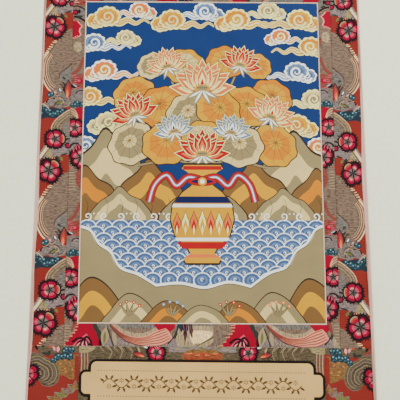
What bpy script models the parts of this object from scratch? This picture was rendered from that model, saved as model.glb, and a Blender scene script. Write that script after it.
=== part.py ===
"""Thangka scroll painting lying on a floor: a woven picture in a brocade mount.

The picture is edged with a thin cord, framed by a narrow mitred band and set in wide
brocade borders with pale selvages. A tablet of plain silk, piped in black, is sewn on the
lower border. Both ends are turned under into a hem.

Every piece is cut flat, in a frame with its origin at the middle of the picture, and
lay() gives each point of the flat cut its place on the floor. The part's own origin is
under the middle of the whole scroll, with +Y to its top and +Z up.
"""

import math
from typing import NamedTuple

import bmesh
import bpy

# Driving sizes of the flat cut, in metres
PICTURE_WIDTH = 0.444
PICTURE_HEIGHT = 0.605
SEAM_GAP = 0.0003
EDGING_RADIUS = 0.0009
EDGING_LIFT = 0.0006
BAND_SIDE_WIDTH = 0.0236
BAND_END_WIDTH = 0.0396
BORDER_SIDE_WIDTH = 0.053
SELVAGE_WIDTH = 0.003
TOP_BORDER_DEPTH = 0.120
BOTTOM_BORDER_DEPTH = 0.185
BOTTOM_MIDDLE_WIDTH = 0.439
HEM_DEPTH = 0.032
HEM_STEP = 0.0015

# Cloth thicknesses, in metres
PICTURE_THICK = 0.0013
BROCADE_THICK = 0.0016
SELVAGE_THICK = 0.0010
TABLET_THICK = 0.0010
PIPING_THICK = 0.0015

# The tablet's outline, taken at the outside of its piping
TABLET_DROP = 0.0645
TABLET_HALF_WIDTH = 0.202
TABLET_HALF_HEIGHT = 0.0425
TABLET_CORNER = 0.0145
LOBE_REACH = 0.0165
LOBE_HALF_HEIGHT = 0.0235
LOBE_CORNER = 0.0125
PIPING_WIDTH = 0.0044
ARC_STEPS = 5

# Spacing of the grid lines that let the cloth bend
PICTURE_PITCH = 0.022
BORDER_PITCH = 0.018
EDGING_PITCH = 0.020

# Lines of the layout, worked out from the sizes
PICTURE_X = PICTURE_WIDTH / 2
PICTURE_Y = PICTURE_HEIGHT / 2
EDGING_SLOT = 2 * EDGING_RADIUS + 2 * SEAM_GAP
BAND_IN_X = PICTURE_X + EDGING_SLOT
BAND_IN_Y = PICTURE_Y + EDGING_SLOT
BAND_OUT_X = BAND_IN_X + BAND_SIDE_WIDTH
BAND_OUT_Y = BAND_IN_Y + BAND_END_WIDTH
BORDER_OUT_X = BAND_OUT_X + BORDER_SIDE_WIDTH
SELVAGE_OUT_X = BORDER_OUT_X + SELVAGE_WIDTH
TOP_Y = BAND_OUT_Y + TOP_BORDER_DEPTH
BOTTOM_Y = -BAND_OUT_Y - BOTTOM_BORDER_DEPTH
BOTTOM_SEAM_X = BOTTOM_MIDDLE_WIDTH / 2
TABLET_Y = -BAND_OUT_Y - TABLET_DROP


class Fold(NamedTuple):
    """A soft rise of the cloth off the floor: an oval hump with a rounded top."""

    x: float
    y: float
    half_length: float
    half_width: float
    turn: float
    height: float


class Station(NamedTuple):
    """How the cloth lies at one place along its length.

    left and right are how far the outer edges stand out past their cut lines, and fall is
    how far a line across the cloth drops to the right, in metres for each metre.
    """

    y: float
    left: float
    right: float
    fall: float


# The crease across the picture comes first, then the lifts along the edges and ends
FOLDS = (
    Fold(0.074, 0.094, 0.190, 0.024, -57.5, 0.0022),
    Fold(-0.130, -0.120, 0.150, 0.070, 20.0, 0.0012),
    Fold(0.120, -0.205, 0.130, 0.060, -15.0, 0.0012),
    Fold(-0.300, 0.235, 0.085, 0.040, 90.0, 0.0026),
    Fold(-0.302, 0.030, 0.110, 0.046, 86.0, 0.0034),
    Fold(-0.300, -0.200, 0.090, 0.040, 92.0, 0.0030),
    Fold(-0.306, -0.395, 0.075, 0.052, 84.0, 0.0040),
    Fold(0.300, 0.290, 0.080, 0.040, 92.0, 0.0028),
    Fold(0.298, 0.085, 0.100, 0.044, 88.0, 0.0032),
    Fold(0.300, -0.125, 0.085, 0.038, 90.0, 0.0026),
    Fold(0.306, -0.330, 0.105, 0.050, 95.0, 0.0042),
    Fold(-0.170, 0.470, 0.095, 0.060, 0.0, 0.0038),
    Fold(0.115, 0.470, 0.115, 0.052, 4.0, 0.0032),
    Fold(-0.195, -0.530, 0.100, 0.055, -3.0, 0.0040),
    Fold(0.060, -0.535, 0.080, 0.042, 0.0, 0.0028),
    Fold(0.292, -0.528, 0.080, 0.062, 35.0, 0.0058),
)

# The borders draw in at mid height and flare at the foot, where the weave leans too
STATIONS = (
    Station(0.480, -0.0010, -0.0020, 0.000),
    Station(0.210, -0.0014, -0.0020, 0.000),
    Station(0.060, 0.0005, -0.0024, 0.000),
    Station(-0.070, 0.0000, -0.0031, 0.001),
    Station(-0.230, 0.0020, 0.0000, 0.003),
    Station(-0.345, 0.0022, 0.0011, 0.010),
    Station(-0.409, 0.0052, 0.0028, 0.018),
    Station(-0.440, 0.0068, 0.0036, 0.019),
    Station(-0.540, 0.0088, 0.0052, 0.019),
)

# The middle of the whole scroll as it lies, seen from the middle of the picture
MIDDLE = (-0.0016, -0.0355)


class Finish(NamedTuple):
    """The look of one cloth."""

    name: str
    colour: tuple
    roughness: float


PICTURE_SILK = Finish("picture_silk", (0.16, 0.22, 0.36, 1.0), 0.60)
CORD_SILK = Finish("cord_silk", (0.80, 0.66, 0.58, 1.0), 0.65)
BAND_BROCADE = Finish("band_brocade", (0.48, 0.02, 0.05, 1.0), 0.70)
BORDER_BROCADE = Finish("border_brocade", (0.42, 0.10, 0.06, 1.0), 0.75)
SELVAGE_COTTON = Finish("selvage_cotton", (0.72, 0.62, 0.60, 1.0), 0.85)
TABLET_SILK = Finish("tablet_silk", (0.68, 0.50, 0.31, 1.0), 0.60)
PIPING_BLACK = Finish("piping_black", (0.02, 0.014, 0.012, 1.0), 0.55)


def ease(share):
    """A smooth step from 0 to 1."""
    share = min(1.0, max(0.0, share))
    return share * share * (3.0 - 2.0 * share)


def station_at(y):
    """How the cloth lies at y, eased from one station to the next."""
    for upper, lower in zip(STATIONS, STATIONS[1:]):
        if y >= lower.y:
            share = ease((upper.y - y) / (upper.y - lower.y))
            return Station(*(a + share * (b - a) for a, b in zip(upper, lower)))
    return STATIONS[-1]


def rise_at(x, y):
    """Height of the cloth's underside over the floor."""
    rise = 0.0
    for fold in FOLDS:
        turn = math.radians(fold.turn)
        along = (x - fold.x) * math.cos(turn) + (y - fold.y) * math.sin(turn)
        across = (y - fold.y) * math.cos(turn) - (x - fold.x) * math.sin(turn)
        reach = math.hypot(along / fold.half_length, across / fold.half_width)
        if reach < 1.0:
            rise += fold.height * math.cos(reach * math.pi / 2) ** 2
    return rise


def lay(x, y, lift=0.0):
    """Place on the floor of the point (x, y) of the flat cut, lift above the underside."""
    station = station_at(y)
    outward = ease((abs(x) - BAND_OUT_X) / BORDER_SIDE_WIDTH)
    laid_x = x - outward * station.left if x < 0 else x + outward * station.right
    laid_y = y - station.fall * x
    return laid_x - MIDDLE[0], laid_y - MIDDLE[1], rise_at(laid_x, laid_y) + lift


def lines(start, end, pitch):
    """Evenly spaced grid lines from start to end, at most pitch apart."""
    count = max(1, math.ceil(abs(end - start) / pitch))
    return [start + (end - start) * i / count for i in range(count + 1)]


def material(finish):
    """A plain cloth material, made once for each finish."""
    made = bpy.data.materials.get(finish.name)
    if made is None:
        made = bpy.data.materials.new(finish.name)
        made.use_nodes = True
        shader = made.node_tree.nodes["Principled BSDF"]
        shader.inputs["Base Color"].default_value = finish.colour
        shader.inputs["Roughness"].default_value = finish.roughness
    return made


def add_object(name, data, finish, collection):
    """Links a mesh or curve into the collection under its own name."""
    made = bpy.data.objects.new(name, data)
    data.materials.append(material(finish))
    collection.objects.link(made)
    return made


def cloth_sheet(name, xs, ys, thick, finish, collection, trim=None, hem_at=None):
    """One cut piece: a grid laid on the floor with Solidify for its thickness.

    xs and ys are the grid lines of the cut, trim slants its ends for a mitre, and past
    hem_at the cloth is double.
    """
    grid = bmesh.new()
    bmesh.ops.create_grid(grid, x_segments=len(xs) - 1, y_segments=len(ys) - 1, size=0.5)
    double = []
    for i, vertex in enumerate(grid.verts):
        column = round((vertex.co.x + 0.5) * (len(xs) - 1))
        row = round((vertex.co.y + 0.5) * (len(ys) - 1))
        x, y = xs[column], ys[row]
        if hem_at is not None and abs(y) > abs(hem_at):
            double.append(i)
        vertex.co = lay(*(trim(x, y) if trim else (x, y)))
    mesh = bpy.data.meshes.new(name)
    grid.to_mesh(mesh)
    grid.free()
    made = add_object(name, mesh, finish, collection)
    solidify = made.modifiers.new("thickness", "SOLIDIFY")
    solidify.thickness = thick
    solidify.offset = 1.0
    if hem_at is not None:
        layers = made.vertex_groups.new(name="layers")
        layers.add(range(len(mesh.vertices)), 0.5, "REPLACE")
        layers.add(double, 1.0, "REPLACE")
        solidify.thickness = 2 * thick
        solidify.vertex_group = layers.name
    return made


def edging_side(name, start, end, collection):
    """A thin cord along one side of the picture, from one cut point to another."""
    count = math.ceil(math.dist(start, end) / EDGING_PITCH)
    curve = bpy.data.curves.new(name, "CURVE")
    curve.dimensions = "3D"
    curve.bevel_depth = EDGING_RADIUS
    curve.bevel_resolution = 1
    curve.use_fill_caps = True
    spline = curve.splines.new("POLY")
    spline.points.add(count)
    for i, point in enumerate(spline.points):
        x = start[0] + (end[0] - start[0]) * i / count
        y = start[1] + (end[1] - start[1]) * i / count
        point.co = (*lay(x, y, EDGING_LIFT + EDGING_RADIUS), 1.0)
    return add_object(name, curve, CORD_SILK, collection)


def arc(centre_x, centre_y, radius, start, end):
    """Points of an arc from one angle to another, in degrees."""
    angles = [math.radians(start + (end - start) * i / ARC_STEPS) for i in range(ARC_STEPS + 1)]
    return [(centre_x + radius * math.cos(a), centre_y + radius * math.sin(a)) for a in angles]


def tablet_outline(inset):
    """The tablet's outline, inset from the outside of its piping.

    One quarter runs from the lobe at the right, over the notch, to the rounded top corner,
    and the other three are its mirror images.
    """
    lobe_top = LOBE_HALF_HEIGHT - inset
    lobe_x = TABLET_HALF_WIDTH + LOBE_REACH - inset
    body_x = TABLET_HALF_WIDTH - inset
    body_top = TABLET_HALF_HEIGHT - inset
    corner = TABLET_CORNER - inset
    lobe_corner = LOBE_CORNER - inset
    quarter = arc(lobe_x - lobe_corner, lobe_top - lobe_corner, lobe_corner, 0, 90)
    quarter += [(body_x, lobe_top)]
    quarter += arc(body_x - corner, body_top - corner, corner, 0, 90)
    upper = quarter + [(-x, y) for x, y in reversed(quarter)]
    return upper + [(x, -y) for x, y in reversed(upper)]


def flat_plate(name, outlines, lift, thick, finish, collection):
    """A flat plate with one outline, and a hole where a second outline is given."""
    curve = bpy.data.curves.new(name, "CURVE")
    curve.dimensions = "2D"
    curve.fill_mode = "BOTH"
    curve.extrude = thick / 2
    for outline in outlines:
        spline = curve.splines.new("POLY")
        spline.points.add(len(outline) - 1)
        for point, (x, y) in zip(spline.points, outline):
            laid_x, laid_y, _ = lay(x, TABLET_Y + y)
            point.co = (laid_x, laid_y, 0.0, 1.0)
        spline.use_cyclic_u = True
    made = add_object(name, curve, finish, collection)
    made.location.z = lift + thick / 2
    return made


def mitred_end(x, y):
    """Draws the ends of an end band in along the mitre."""
    share = (abs(y) - BAND_IN_Y) / BAND_END_WIDTH
    half_width = BAND_IN_X + share * BAND_SIDE_WIDTH - SEAM_GAP
    return x * half_width / BAND_OUT_X, y


def mitred_side(x, y):
    """Draws the ends of a side band in along the mitre."""
    share = (abs(x) - BAND_IN_X) / BAND_SIDE_WIDTH
    half_height = BAND_IN_Y + share * BAND_END_WIDTH - SEAM_GAP
    return x, y * half_height / BAND_OUT_Y


def add_picture(collection):
    """The woven picture and the four cords of its edging."""
    xs = lines(-PICTURE_X, PICTURE_X, PICTURE_PITCH)
    ys = lines(-PICTURE_Y, PICTURE_Y, PICTURE_PITCH)
    cloth_sheet("picture_panel", xs, ys, PICTURE_THICK, PICTURE_SILK, collection)
    cord_x = PICTURE_X + EDGING_SLOT / 2
    cord_y = PICTURE_Y + EDGING_SLOT / 2
    for side, word in ((-1, "left"), (1, "right")):
        foot, head = (side * cord_x, -PICTURE_Y), (side * cord_x, PICTURE_Y)
        edging_side(f"edging_{word}", foot, head, collection)
    reach = cord_x + EDGING_RADIUS
    for side, word in ((-1, "bottom"), (1, "top")):
        start, end = (-reach, side * cord_y), (reach, side * cord_y)
        edging_side(f"edging_{word}", start, end, collection)


def add_band(collection):
    """The narrow band round the picture: two sides and two ends, mitred at the corners."""
    for side, word in ((-1, "left"), (1, "right")):
        ends = sorted((side * BAND_IN_X, side * (BAND_OUT_X - SEAM_GAP)))
        xs = lines(*ends, BORDER_PITCH)
        ys = lines(-BAND_OUT_Y, BAND_OUT_Y, BORDER_PITCH)
        cloth_sheet(
            f"band_{word}", xs, ys, BROCADE_THICK, BAND_BROCADE, collection, mitred_side
        )
    for side, word in ((-1, "bottom"), (1, "top")):
        ends = sorted((side * BAND_IN_Y, side * (BAND_OUT_Y - SEAM_GAP)))
        xs = lines(-BAND_OUT_X, BAND_OUT_X, BORDER_PITCH)
        ys = lines(*ends, BORDER_PITCH)
        cloth_sheet(
            f"band_{word}", xs, ys, BROCADE_THICK, BAND_BROCADE, collection, mitred_end
        )


def end_lines(seam, end):
    """Grid lines of a border that ends in a hem, from its lowest line to its highest."""
    away = 1.0 if end > seam else -1.0
    hem = end - away * HEM_DEPTH
    body = lines(seam, hem - away * HEM_STEP, BORDER_PITCH)
    return sorted(body + lines(hem, end, BORDER_PITCH)), hem - away * HEM_STEP / 2


def add_borders(collection):
    """The wide brocade borders: two sides, one piece above, three pieces below."""
    for side, word in ((-1, "left"), (1, "right")):
        ends = sorted((side * BAND_OUT_X, side * (BORDER_OUT_X - SEAM_GAP)))
        xs = lines(*ends, BORDER_PITCH)
        ys = lines(-BAND_OUT_Y, BAND_OUT_Y, BORDER_PITCH)
        cloth_sheet(f"border_{word}", xs, ys, BROCADE_THICK, BORDER_BROCADE, collection)

    outer = BORDER_OUT_X - SEAM_GAP
    top_ys, top_hem = end_lines(BAND_OUT_Y + SEAM_GAP, TOP_Y)
    top_xs = lines(-outer, outer, BORDER_PITCH)
    cloth_sheet(
        "border_top", top_xs, top_ys, BROCADE_THICK, BORDER_BROCADE, collection, None, top_hem
    )

    foot_ys, foot_hem = end_lines(-BAND_OUT_Y - SEAM_GAP, BOTTOM_Y)
    pieces = (
        ("foot_left", -outer, -BOTTOM_SEAM_X - SEAM_GAP),
        ("foot_middle", -BOTTOM_SEAM_X, BOTTOM_SEAM_X),
        ("foot_right", BOTTOM_SEAM_X + SEAM_GAP, outer),
    )
    for name, start, end in pieces:
        xs = lines(start, end, BORDER_PITCH)
        cloth_sheet(
            name, xs, foot_ys, BROCADE_THICK, BORDER_BROCADE, collection, None, foot_hem
        )


def add_selvages(collection):
    """The pale woven edge down each side."""
    for side, word in ((-1, "left"), (1, "right")):
        ends = sorted((side * BORDER_OUT_X, side * SELVAGE_OUT_X))
        ys = lines(BOTTOM_Y, TOP_Y, BORDER_PITCH)
        cloth_sheet(f"selvage_{word}", ends, ys, SELVAGE_THICK, SELVAGE_COTTON, collection)


def add_tablet(collection):
    """The silk tablet sewn on the lower border, and the black piping round it."""
    lift = BROCADE_THICK + SEAM_GAP
    silk = tablet_outline(PIPING_WIDTH + SEAM_GAP)
    flat_plate("tablet", [silk], lift, TABLET_THICK, TABLET_SILK, collection)
    ring = [tablet_outline(0.0), tablet_outline(PIPING_WIDTH)]
    flat_plate("tablet_piping", ring, lift, PIPING_THICK, PIPING_BLACK, collection)


def main():
    """Clears the scene and builds every piece in one collection."""
    for old in list(bpy.data.objects):
        bpy.data.objects.remove(old, do_unlink=True)
    collection = bpy.data.collections.new("thangka_scroll_painting")
    bpy.context.scene.collection.children.link(collection)
    add_picture(collection)
    add_band(collection)
    add_borders(collection)
    add_selvages(collection)
    add_tablet(collection)


main()
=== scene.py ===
"""The looks of a thangka scroll painting that lies face up on a pale floor.

Every cloth is drawn flat, in millimetres from the middle of the picture, as coloured shapes
laid over each other. The drawing is then cut into one mesh whose faces carry the yarn's
colour, and the cloth is laid on the floor in the folds that its CAD solid has.
"""

import logging
import math
from dataclasses import dataclass, field
from enum import Enum
from typing import Callable, Iterable, Protocol, Sequence

import bmesh
import bpy
import numpy as np
from mathutils import Euler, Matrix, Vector
from mathutils.geometry import delaunay_2d_cdt


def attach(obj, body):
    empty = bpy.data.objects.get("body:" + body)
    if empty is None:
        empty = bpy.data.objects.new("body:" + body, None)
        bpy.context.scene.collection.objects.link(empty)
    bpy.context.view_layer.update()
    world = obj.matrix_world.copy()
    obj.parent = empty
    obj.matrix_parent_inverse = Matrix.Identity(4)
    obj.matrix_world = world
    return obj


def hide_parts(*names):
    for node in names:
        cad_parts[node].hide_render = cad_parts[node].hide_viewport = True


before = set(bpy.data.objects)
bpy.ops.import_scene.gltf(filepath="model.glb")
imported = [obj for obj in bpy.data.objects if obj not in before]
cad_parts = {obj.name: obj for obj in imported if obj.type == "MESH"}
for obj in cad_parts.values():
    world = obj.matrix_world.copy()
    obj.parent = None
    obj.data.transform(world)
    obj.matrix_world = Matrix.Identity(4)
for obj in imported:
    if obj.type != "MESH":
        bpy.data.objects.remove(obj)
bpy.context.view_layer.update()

LOG = logging.getLogger("thangka")
MM = 0.001
FULL_TURN = 2 * math.pi
WELD = 1e-3  # points of a drawing nearer than this many millimetres become one

Point = tuple[float, float]
Points = list[Point]


class Dye(Enum):
    """The yarns, each as 8-bit sRGB."""

    BRICK = (125, 41, 33)
    CRIMSON = (146, 5, 35)
    NIGHT = (34, 20, 22)
    WINE = (58, 14, 28)
    PETAL = (148, 12, 49)
    ROSE = (196, 66, 86)
    BLUSH = (226, 142, 124)
    ASH = (104, 97, 88)
    MOSS = (48, 49, 41)
    BEIGE = (112, 92, 75)
    FAWN = (92, 78, 64)
    STRAW = (156, 134, 98)
    CREAM = (236, 200, 140)
    PEACH = (216, 132, 92)
    TEAL = (48, 82, 86)
    LAKE = (38, 60, 68)
    POND = (62, 98, 100)
    ICE = (140, 176, 182)
    SLATE = (33, 46, 54)
    MAUVE = (93, 77, 84)
    HAZE = (122, 106, 100)
    OLIVE = (101, 100, 53)
    FLAME = (170, 57, 41)
    RUST = (122, 60, 50)
    EMBER = (136, 66, 40)
    SKY = (26, 50, 97)
    GOLD = (204, 148, 30)
    SAND = (212, 188, 122)
    CLOUD = (240, 228, 142)
    AMBER = (200, 122, 24)
    CORAL = (214, 108, 58)
    POWDER = (100, 122, 154)
    PEARL = (240, 240, 226)
    OCHRE = (119, 86, 46)
    SAGE = (141, 125, 84)
    TWEED = (86, 74, 54)
    BISQUE = (206, 152, 108)
    WATER = (66, 92, 132)
    SCARLET = (166, 26, 28)
    NAVY = (24, 30, 72)
    INK = (50, 38, 32)
    SILK = (208, 168, 100)
    UMBER = (58, 42, 33)
    MILK = (240, 206, 176)
    HUSK = (216, 172, 154)
    PITCH = (26, 18, 16)

    @property
    def linear(self) -> tuple[float, float, float, float]:
        """The colour in scene-linear light, with full alpha."""
        parts = [c / 255 for c in self.value]
        red, green, blue = (
            c / 12.92 if c <= 0.04045 else ((c + 0.055) / 1.055) ** 2.4 for c in parts
        )
        return red, green, blue, 1.0


(
    BRICK, CRIMSON, NIGHT, WINE, PETAL, ROSE, BLUSH, ASH, MOSS, BEIGE, FAWN, STRAW, CREAM, PEACH, TEAL, LAKE,
    POND, ICE, SLATE, MAUVE, HAZE, OLIVE, FLAME, RUST, EMBER, SKY, GOLD, SAND, CLOUD, AMBER, CORAL, POWDER,
    PEARL, OCHRE, SAGE, TWEED, BISQUE, WATER, SCARLET, NAVY, INK, SILK, UMBER, MILK, HUSK, PITCH,
) = Dye


class Side(Enum):
    """The two sides of the scroll, as seen from above."""

    LEFT = -1
    RIGHT = 1

    @property
    def word(self) -> str:
        """The side's name as the CAD nodes spell it."""
        return self.name.lower()


class Grain(Enum):
    """Which way a cloth's weft runs on the floor."""

    ACROSS = 0
    ALONG = 1


@dataclass(frozen=True)
class Shape:
    """One patch of a drawing: its outline, its yarn and how strongly the weft shows in it."""

    points: tuple[Point, ...]
    dye: Dye
    rib: float = 0.0

    def covers(self, points: np.ndarray) -> np.ndarray:
        """Which of some points the patch's outline winds round."""
        ring = np.array(self.points)
        low, high = ring.min(axis=0), ring.max(axis=0)
        near = np.nonzero(np.all((points >= low) & (points <= high), axis=1))[0]
        start, end = ring[:, None], np.roll(ring, -1, axis=0)[:, None]
        way, off = end - start, points[near][None] - start
        side = way[..., 0] * off[..., 1] - off[..., 0] * way[..., 1]
        rises = (off[..., 1] >= 0) & (off[..., 1] < way[..., 1]) & (side > 0)
        falls = (off[..., 1] < 0) & (off[..., 1] >= way[..., 1]) & (side < 0)
        made = np.zeros(len(points), bool)
        made[near] = rises.sum(axis=0) != falls.sum(axis=0)
        return made

    def meets(self, left: float, bottom: float, right: float, top: float) -> bool:
        """Whether the patch reaches into an upright rectangle."""
        xs, ys = zip(*self.points)
        return min(xs) < right and max(xs) > left and min(ys) < top and max(ys) > bottom


@dataclass(frozen=True)
class Place:
    """Where a motif goes: its origin, its turn in degrees, its size and whether it flips."""

    x: float
    y: float
    turn: float = 0.0
    size: float = 1.0
    flip: bool = False

    def move(self, points: Iterable[Point]) -> Points:
        """Carries points from the motif's own frame to the drawing.

        Args:
            points: Points round the motif's origin.

        Returns:
            The same points in the drawing.
        """
        angle = math.radians(self.turn)
        cos, sin = math.cos(angle) * self.size, math.sin(angle) * self.size
        hand = -1.0 if self.flip else 1.0
        return [
            (self.x + hand * x * cos - y * sin, self.y + hand * x * sin + y * cos)
            for x, y in points
        ]


class Motif(Protocol):
    """A part of a pattern that draws itself round the origin."""

    def draw(self) -> "Drawing":
        """Draws the part."""


@dataclass
class Drawing:
    """Shapes in order: a later one covers what is under it."""

    shapes: list[Shape] = field(default_factory=list)

    def draw(self) -> "Drawing":
        """A drawing is a motif too."""
        return self

    def add(self, points: Iterable[Point], dye: Dye, rib: float = 0.0) -> None:
        """Lays one patch on top of the drawing."""
        self.shapes.append(Shape(tuple(points), dye, rib))

    def patch(self, anchors: Sequence[Point], dye: Dye, rib: float = 0.0) -> None:
        """Lays a patch whose smooth edge passes a few points."""
        self.add(smooth(anchors), dye, rib)

    def line(self, anchors: Sequence[Point], width: float, dye: Dye, taper: float = 0.0) -> None:
        """Lays a smooth line through a few points."""
        self.add(stroke(smooth(anchors, False), width, taper), dye)

    def pile(self, place: Place, rows: Iterable[tuple]) -> None:
        """Lays patches on each other at one place, each given as outline, yarn and perhaps rib."""
        for outline, *look in rows:
            self.add(place.move(outline), *look)

    def leaves(self, rows: Iterable[tuple]) -> None:
        """Lays blades given as x, y, turn, length, width, yarn and perhaps how far the tip leans."""
        for x, y, turn, length, width, dye, *bend in rows:
            lean = bend[0] if bend else 0.08 * length
            self.add(Place(x, y, turn).move(blade(length, width, lean)), dye)

    def put(self, motif: Motif, x: float, y: float, turn: float = 0.0, flip: bool = False) -> None:
        """Lays a whole motif on top of the drawing at a place."""
        place = Place(x, y, turn, 1.0, flip)
        self.pile(place, ((s.points, s.dye, s.rib) for s in motif.draw().shapes))

    def carried(self, way: Callable[[float, float], Point]) -> "Drawing":
        """The same drawing with each of its points carried elsewhere."""
        return Drawing([Shape(tuple(way(*p) for p in s.points), s.dye, s.rib) for s in self.shapes])

    def mirrored(self) -> "Drawing":
        """The same drawing seen in a mirror that stands on the scroll's middle line."""
        return self.carried(lambda x, y: (-x, y))


def oval(width: float, height: float, x: float = 0.0, y: float = 0.0, count: int = 18) -> Points:
    """Points round an ellipse.

    Args:
        width: Its whole width.
        height: Its whole height.
        x: Its middle.
        y: Its middle.
        count: How many points it has.

    Returns:
        The closed outline.
    """
    angles = [FULL_TURN * i / count for i in range(count)]
    return [(x + width / 2 * math.cos(a), y + height / 2 * math.sin(a)) for a in angles]


def box(left: float, bottom: float, right: float, top: float) -> Points:
    """The outline of an upright rectangle."""
    return [(left, bottom), (right, bottom), (right, top), (left, top)]


def smooth(anchors: Sequence[Point], closed: bool = True, steps: int = 5) -> Points:
    """A smooth curve through a few points.

    Args:
        anchors: The points that it passes.
        closed: Whether it comes back to its start.
        steps: How many pieces each stretch is drawn in.

    Returns:
        The curve's points.
    """
    count = len(anchors)
    made = []
    for i in range(count if closed else count - 1):
        if closed:
            p, q, r, s = (anchors[(i + k) % count] for k in (-1, 0, 1, 2))
        else:
            p, q, r, s = (anchors[min(max(i + k, 0), count - 1)] for k in (-1, 0, 1, 2))
        for step in range(steps):
            t = step / steps
            made.append(
                tuple(
                    0.5
                    * (
                        2 * q[k]
                        + (r[k] - p[k]) * t
                        + (2 * p[k] - 5 * q[k] + 4 * r[k] - s[k]) * t * t
                        + (3 * q[k] - p[k] - 3 * r[k] + s[k]) * t**3
                    )
                    for k in (0, 1)
                )
            )
    if not closed:
        made.append(tuple(anchors[-1]))
    return made


def stroke(path: Sequence[Point], width: float, taper: float = 0.0) -> Points:
    """The outline of a line drawn along a path.

    Args:
        path: The points that the line follows.
        width: How wide it is at its start.
        taper: How much of the width is gone at its end, from 0 to 1.

    Returns:
        The closed outline.
    """
    left, right = [], []
    last = len(path) - 1
    for i, (x, y) in enumerate(path):
        before, after = path[max(i - 1, 0)], path[min(i + 1, last)]
        dx, dy = after[0] - before[0], after[1] - before[1]
        size = math.hypot(dx, dy) or 1.0
        half = width / 2 * (1 - taper * i / last)
        left.append((x - dy / size * half, y + dx / size * half))
        right.append((x + dy / size * half, y - dx / size * half))
    return left + right[::-1]


def curl(radius: float, turns: float, x: float = 0.0, y: float = 0.0, start: float = 0.0) -> Points:
    """A path that winds in to a point.

    Args:
        radius: Its distance from the point at the start.
        turns: How many turns it makes. Below 0 it winds clockwise.
        x: The point.
        y: The point.
        start: The angle that it starts at, in degrees.

    Returns:
        The path, from the outside in.
    """
    count = max(6, round(abs(turns) * 14))
    made = []
    for i in range(count + 1):
        share = i / count
        angle = math.radians(start) + FULL_TURN * turns * share
        reach = radius * (1 - 0.82 * share)
        made.append((x + reach * math.cos(angle), y + reach * math.sin(angle)))
    return made


def blade(length: float, width: float, bend: float = 0.0, steps: int = 7) -> Points:
    """A pointed leaf from the origin up to its tip.

    Args:
        length: How long it is.
        width: How wide it is at its middle.
        bend: How far its tip leans to the right.
        steps: How many pieces each edge is drawn in.

    Returns:
        The closed outline.
    """
    middle = [(bend * (i / steps) ** 2, length * i / steps) for i in range(steps + 1)]
    half = [width / 2 * math.sin(math.pi * (i / steps) ** 0.85) for i in range(steps + 1)]
    right = [(x + w, y) for (x, y), w in zip(middle, half)]
    left = [(x - w, y) for (x, y), w in zip(middle[1:-1], half[1:-1])]
    return right + left[::-1]


def petal(length: float, width: float, point: float = 0.25, steps: int = 8) -> Points:
    """A rounded petal from the origin up, fullest above its middle, with a small point."""
    made = []
    for i in range(1, steps):
        share = i / steps
        made.append((width / 2 * math.sin(math.pi * share**1.35), length * (1 - point * 0.5) * share))
    right = [(0.0, 0.0)] + made
    left = [(-x, y) for x, y in reversed(made)]
    return right + [(0.0, length)] + left


def toothed(outline: Sequence[Point], depth: float, teeth: int = 2) -> Points:
    """Turns an outline's edge into saw teeth that stand out from its middle.

    Args:
        outline: The smooth outline.
        depth: How far a tooth stands out.
        teeth: How many points go to a tooth.

    Returns:
        The toothed outline.
    """
    x = sum(p[0] for p in outline) / len(outline)
    y = sum(p[1] for p in outline) / len(outline)
    made = []
    for i, (px, py) in enumerate(outline):
        reach = math.hypot(px - x, py - y) or 1.0
        grow = 1 + (depth / reach if i % teeth == 0 else 0.0)
        made.append((x + (px - x) * grow, y + (py - y) * grow))
    return made


def shrunk(outline: Sequence[Point], share: float, x: float | None = None, y: float | None = None) -> Points:
    """A smaller copy of an outline, drawn in towards a point or its own middle."""
    x = sum(p[0] for p in outline) / len(outline) if x is None else x
    y = sum(p[1] for p in outline) / len(outline) if y is None else y
    return [(x + (px - x) * share, y + (py - y) * share) for px, py in outline]


def scalloped(width: float, height: float, lobes: int, depth: float, turn: float = 0.0) -> Points:
    """An ellipse whose edge is a row of round lobes.

    Args:
        width: Its whole width between the lobes' roots.
        height: Its whole height between the lobes' roots.
        lobes: How many lobes it has.
        depth: How far a lobe stands out, as a share of the size.
        turn: Where the first lobe starts, in degrees.

    Returns:
        The closed outline.
    """
    count = lobes * 5
    made = []
    for i in range(count):
        angle = FULL_TURN * i / count
        reach = 1 + depth * abs(math.sin(lobes * angle / 2))
        spot = angle + math.radians(turn)
        made.append((width / 2 * reach * math.cos(spot), height / 2 * reach * math.sin(spot)))
    return made


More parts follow.
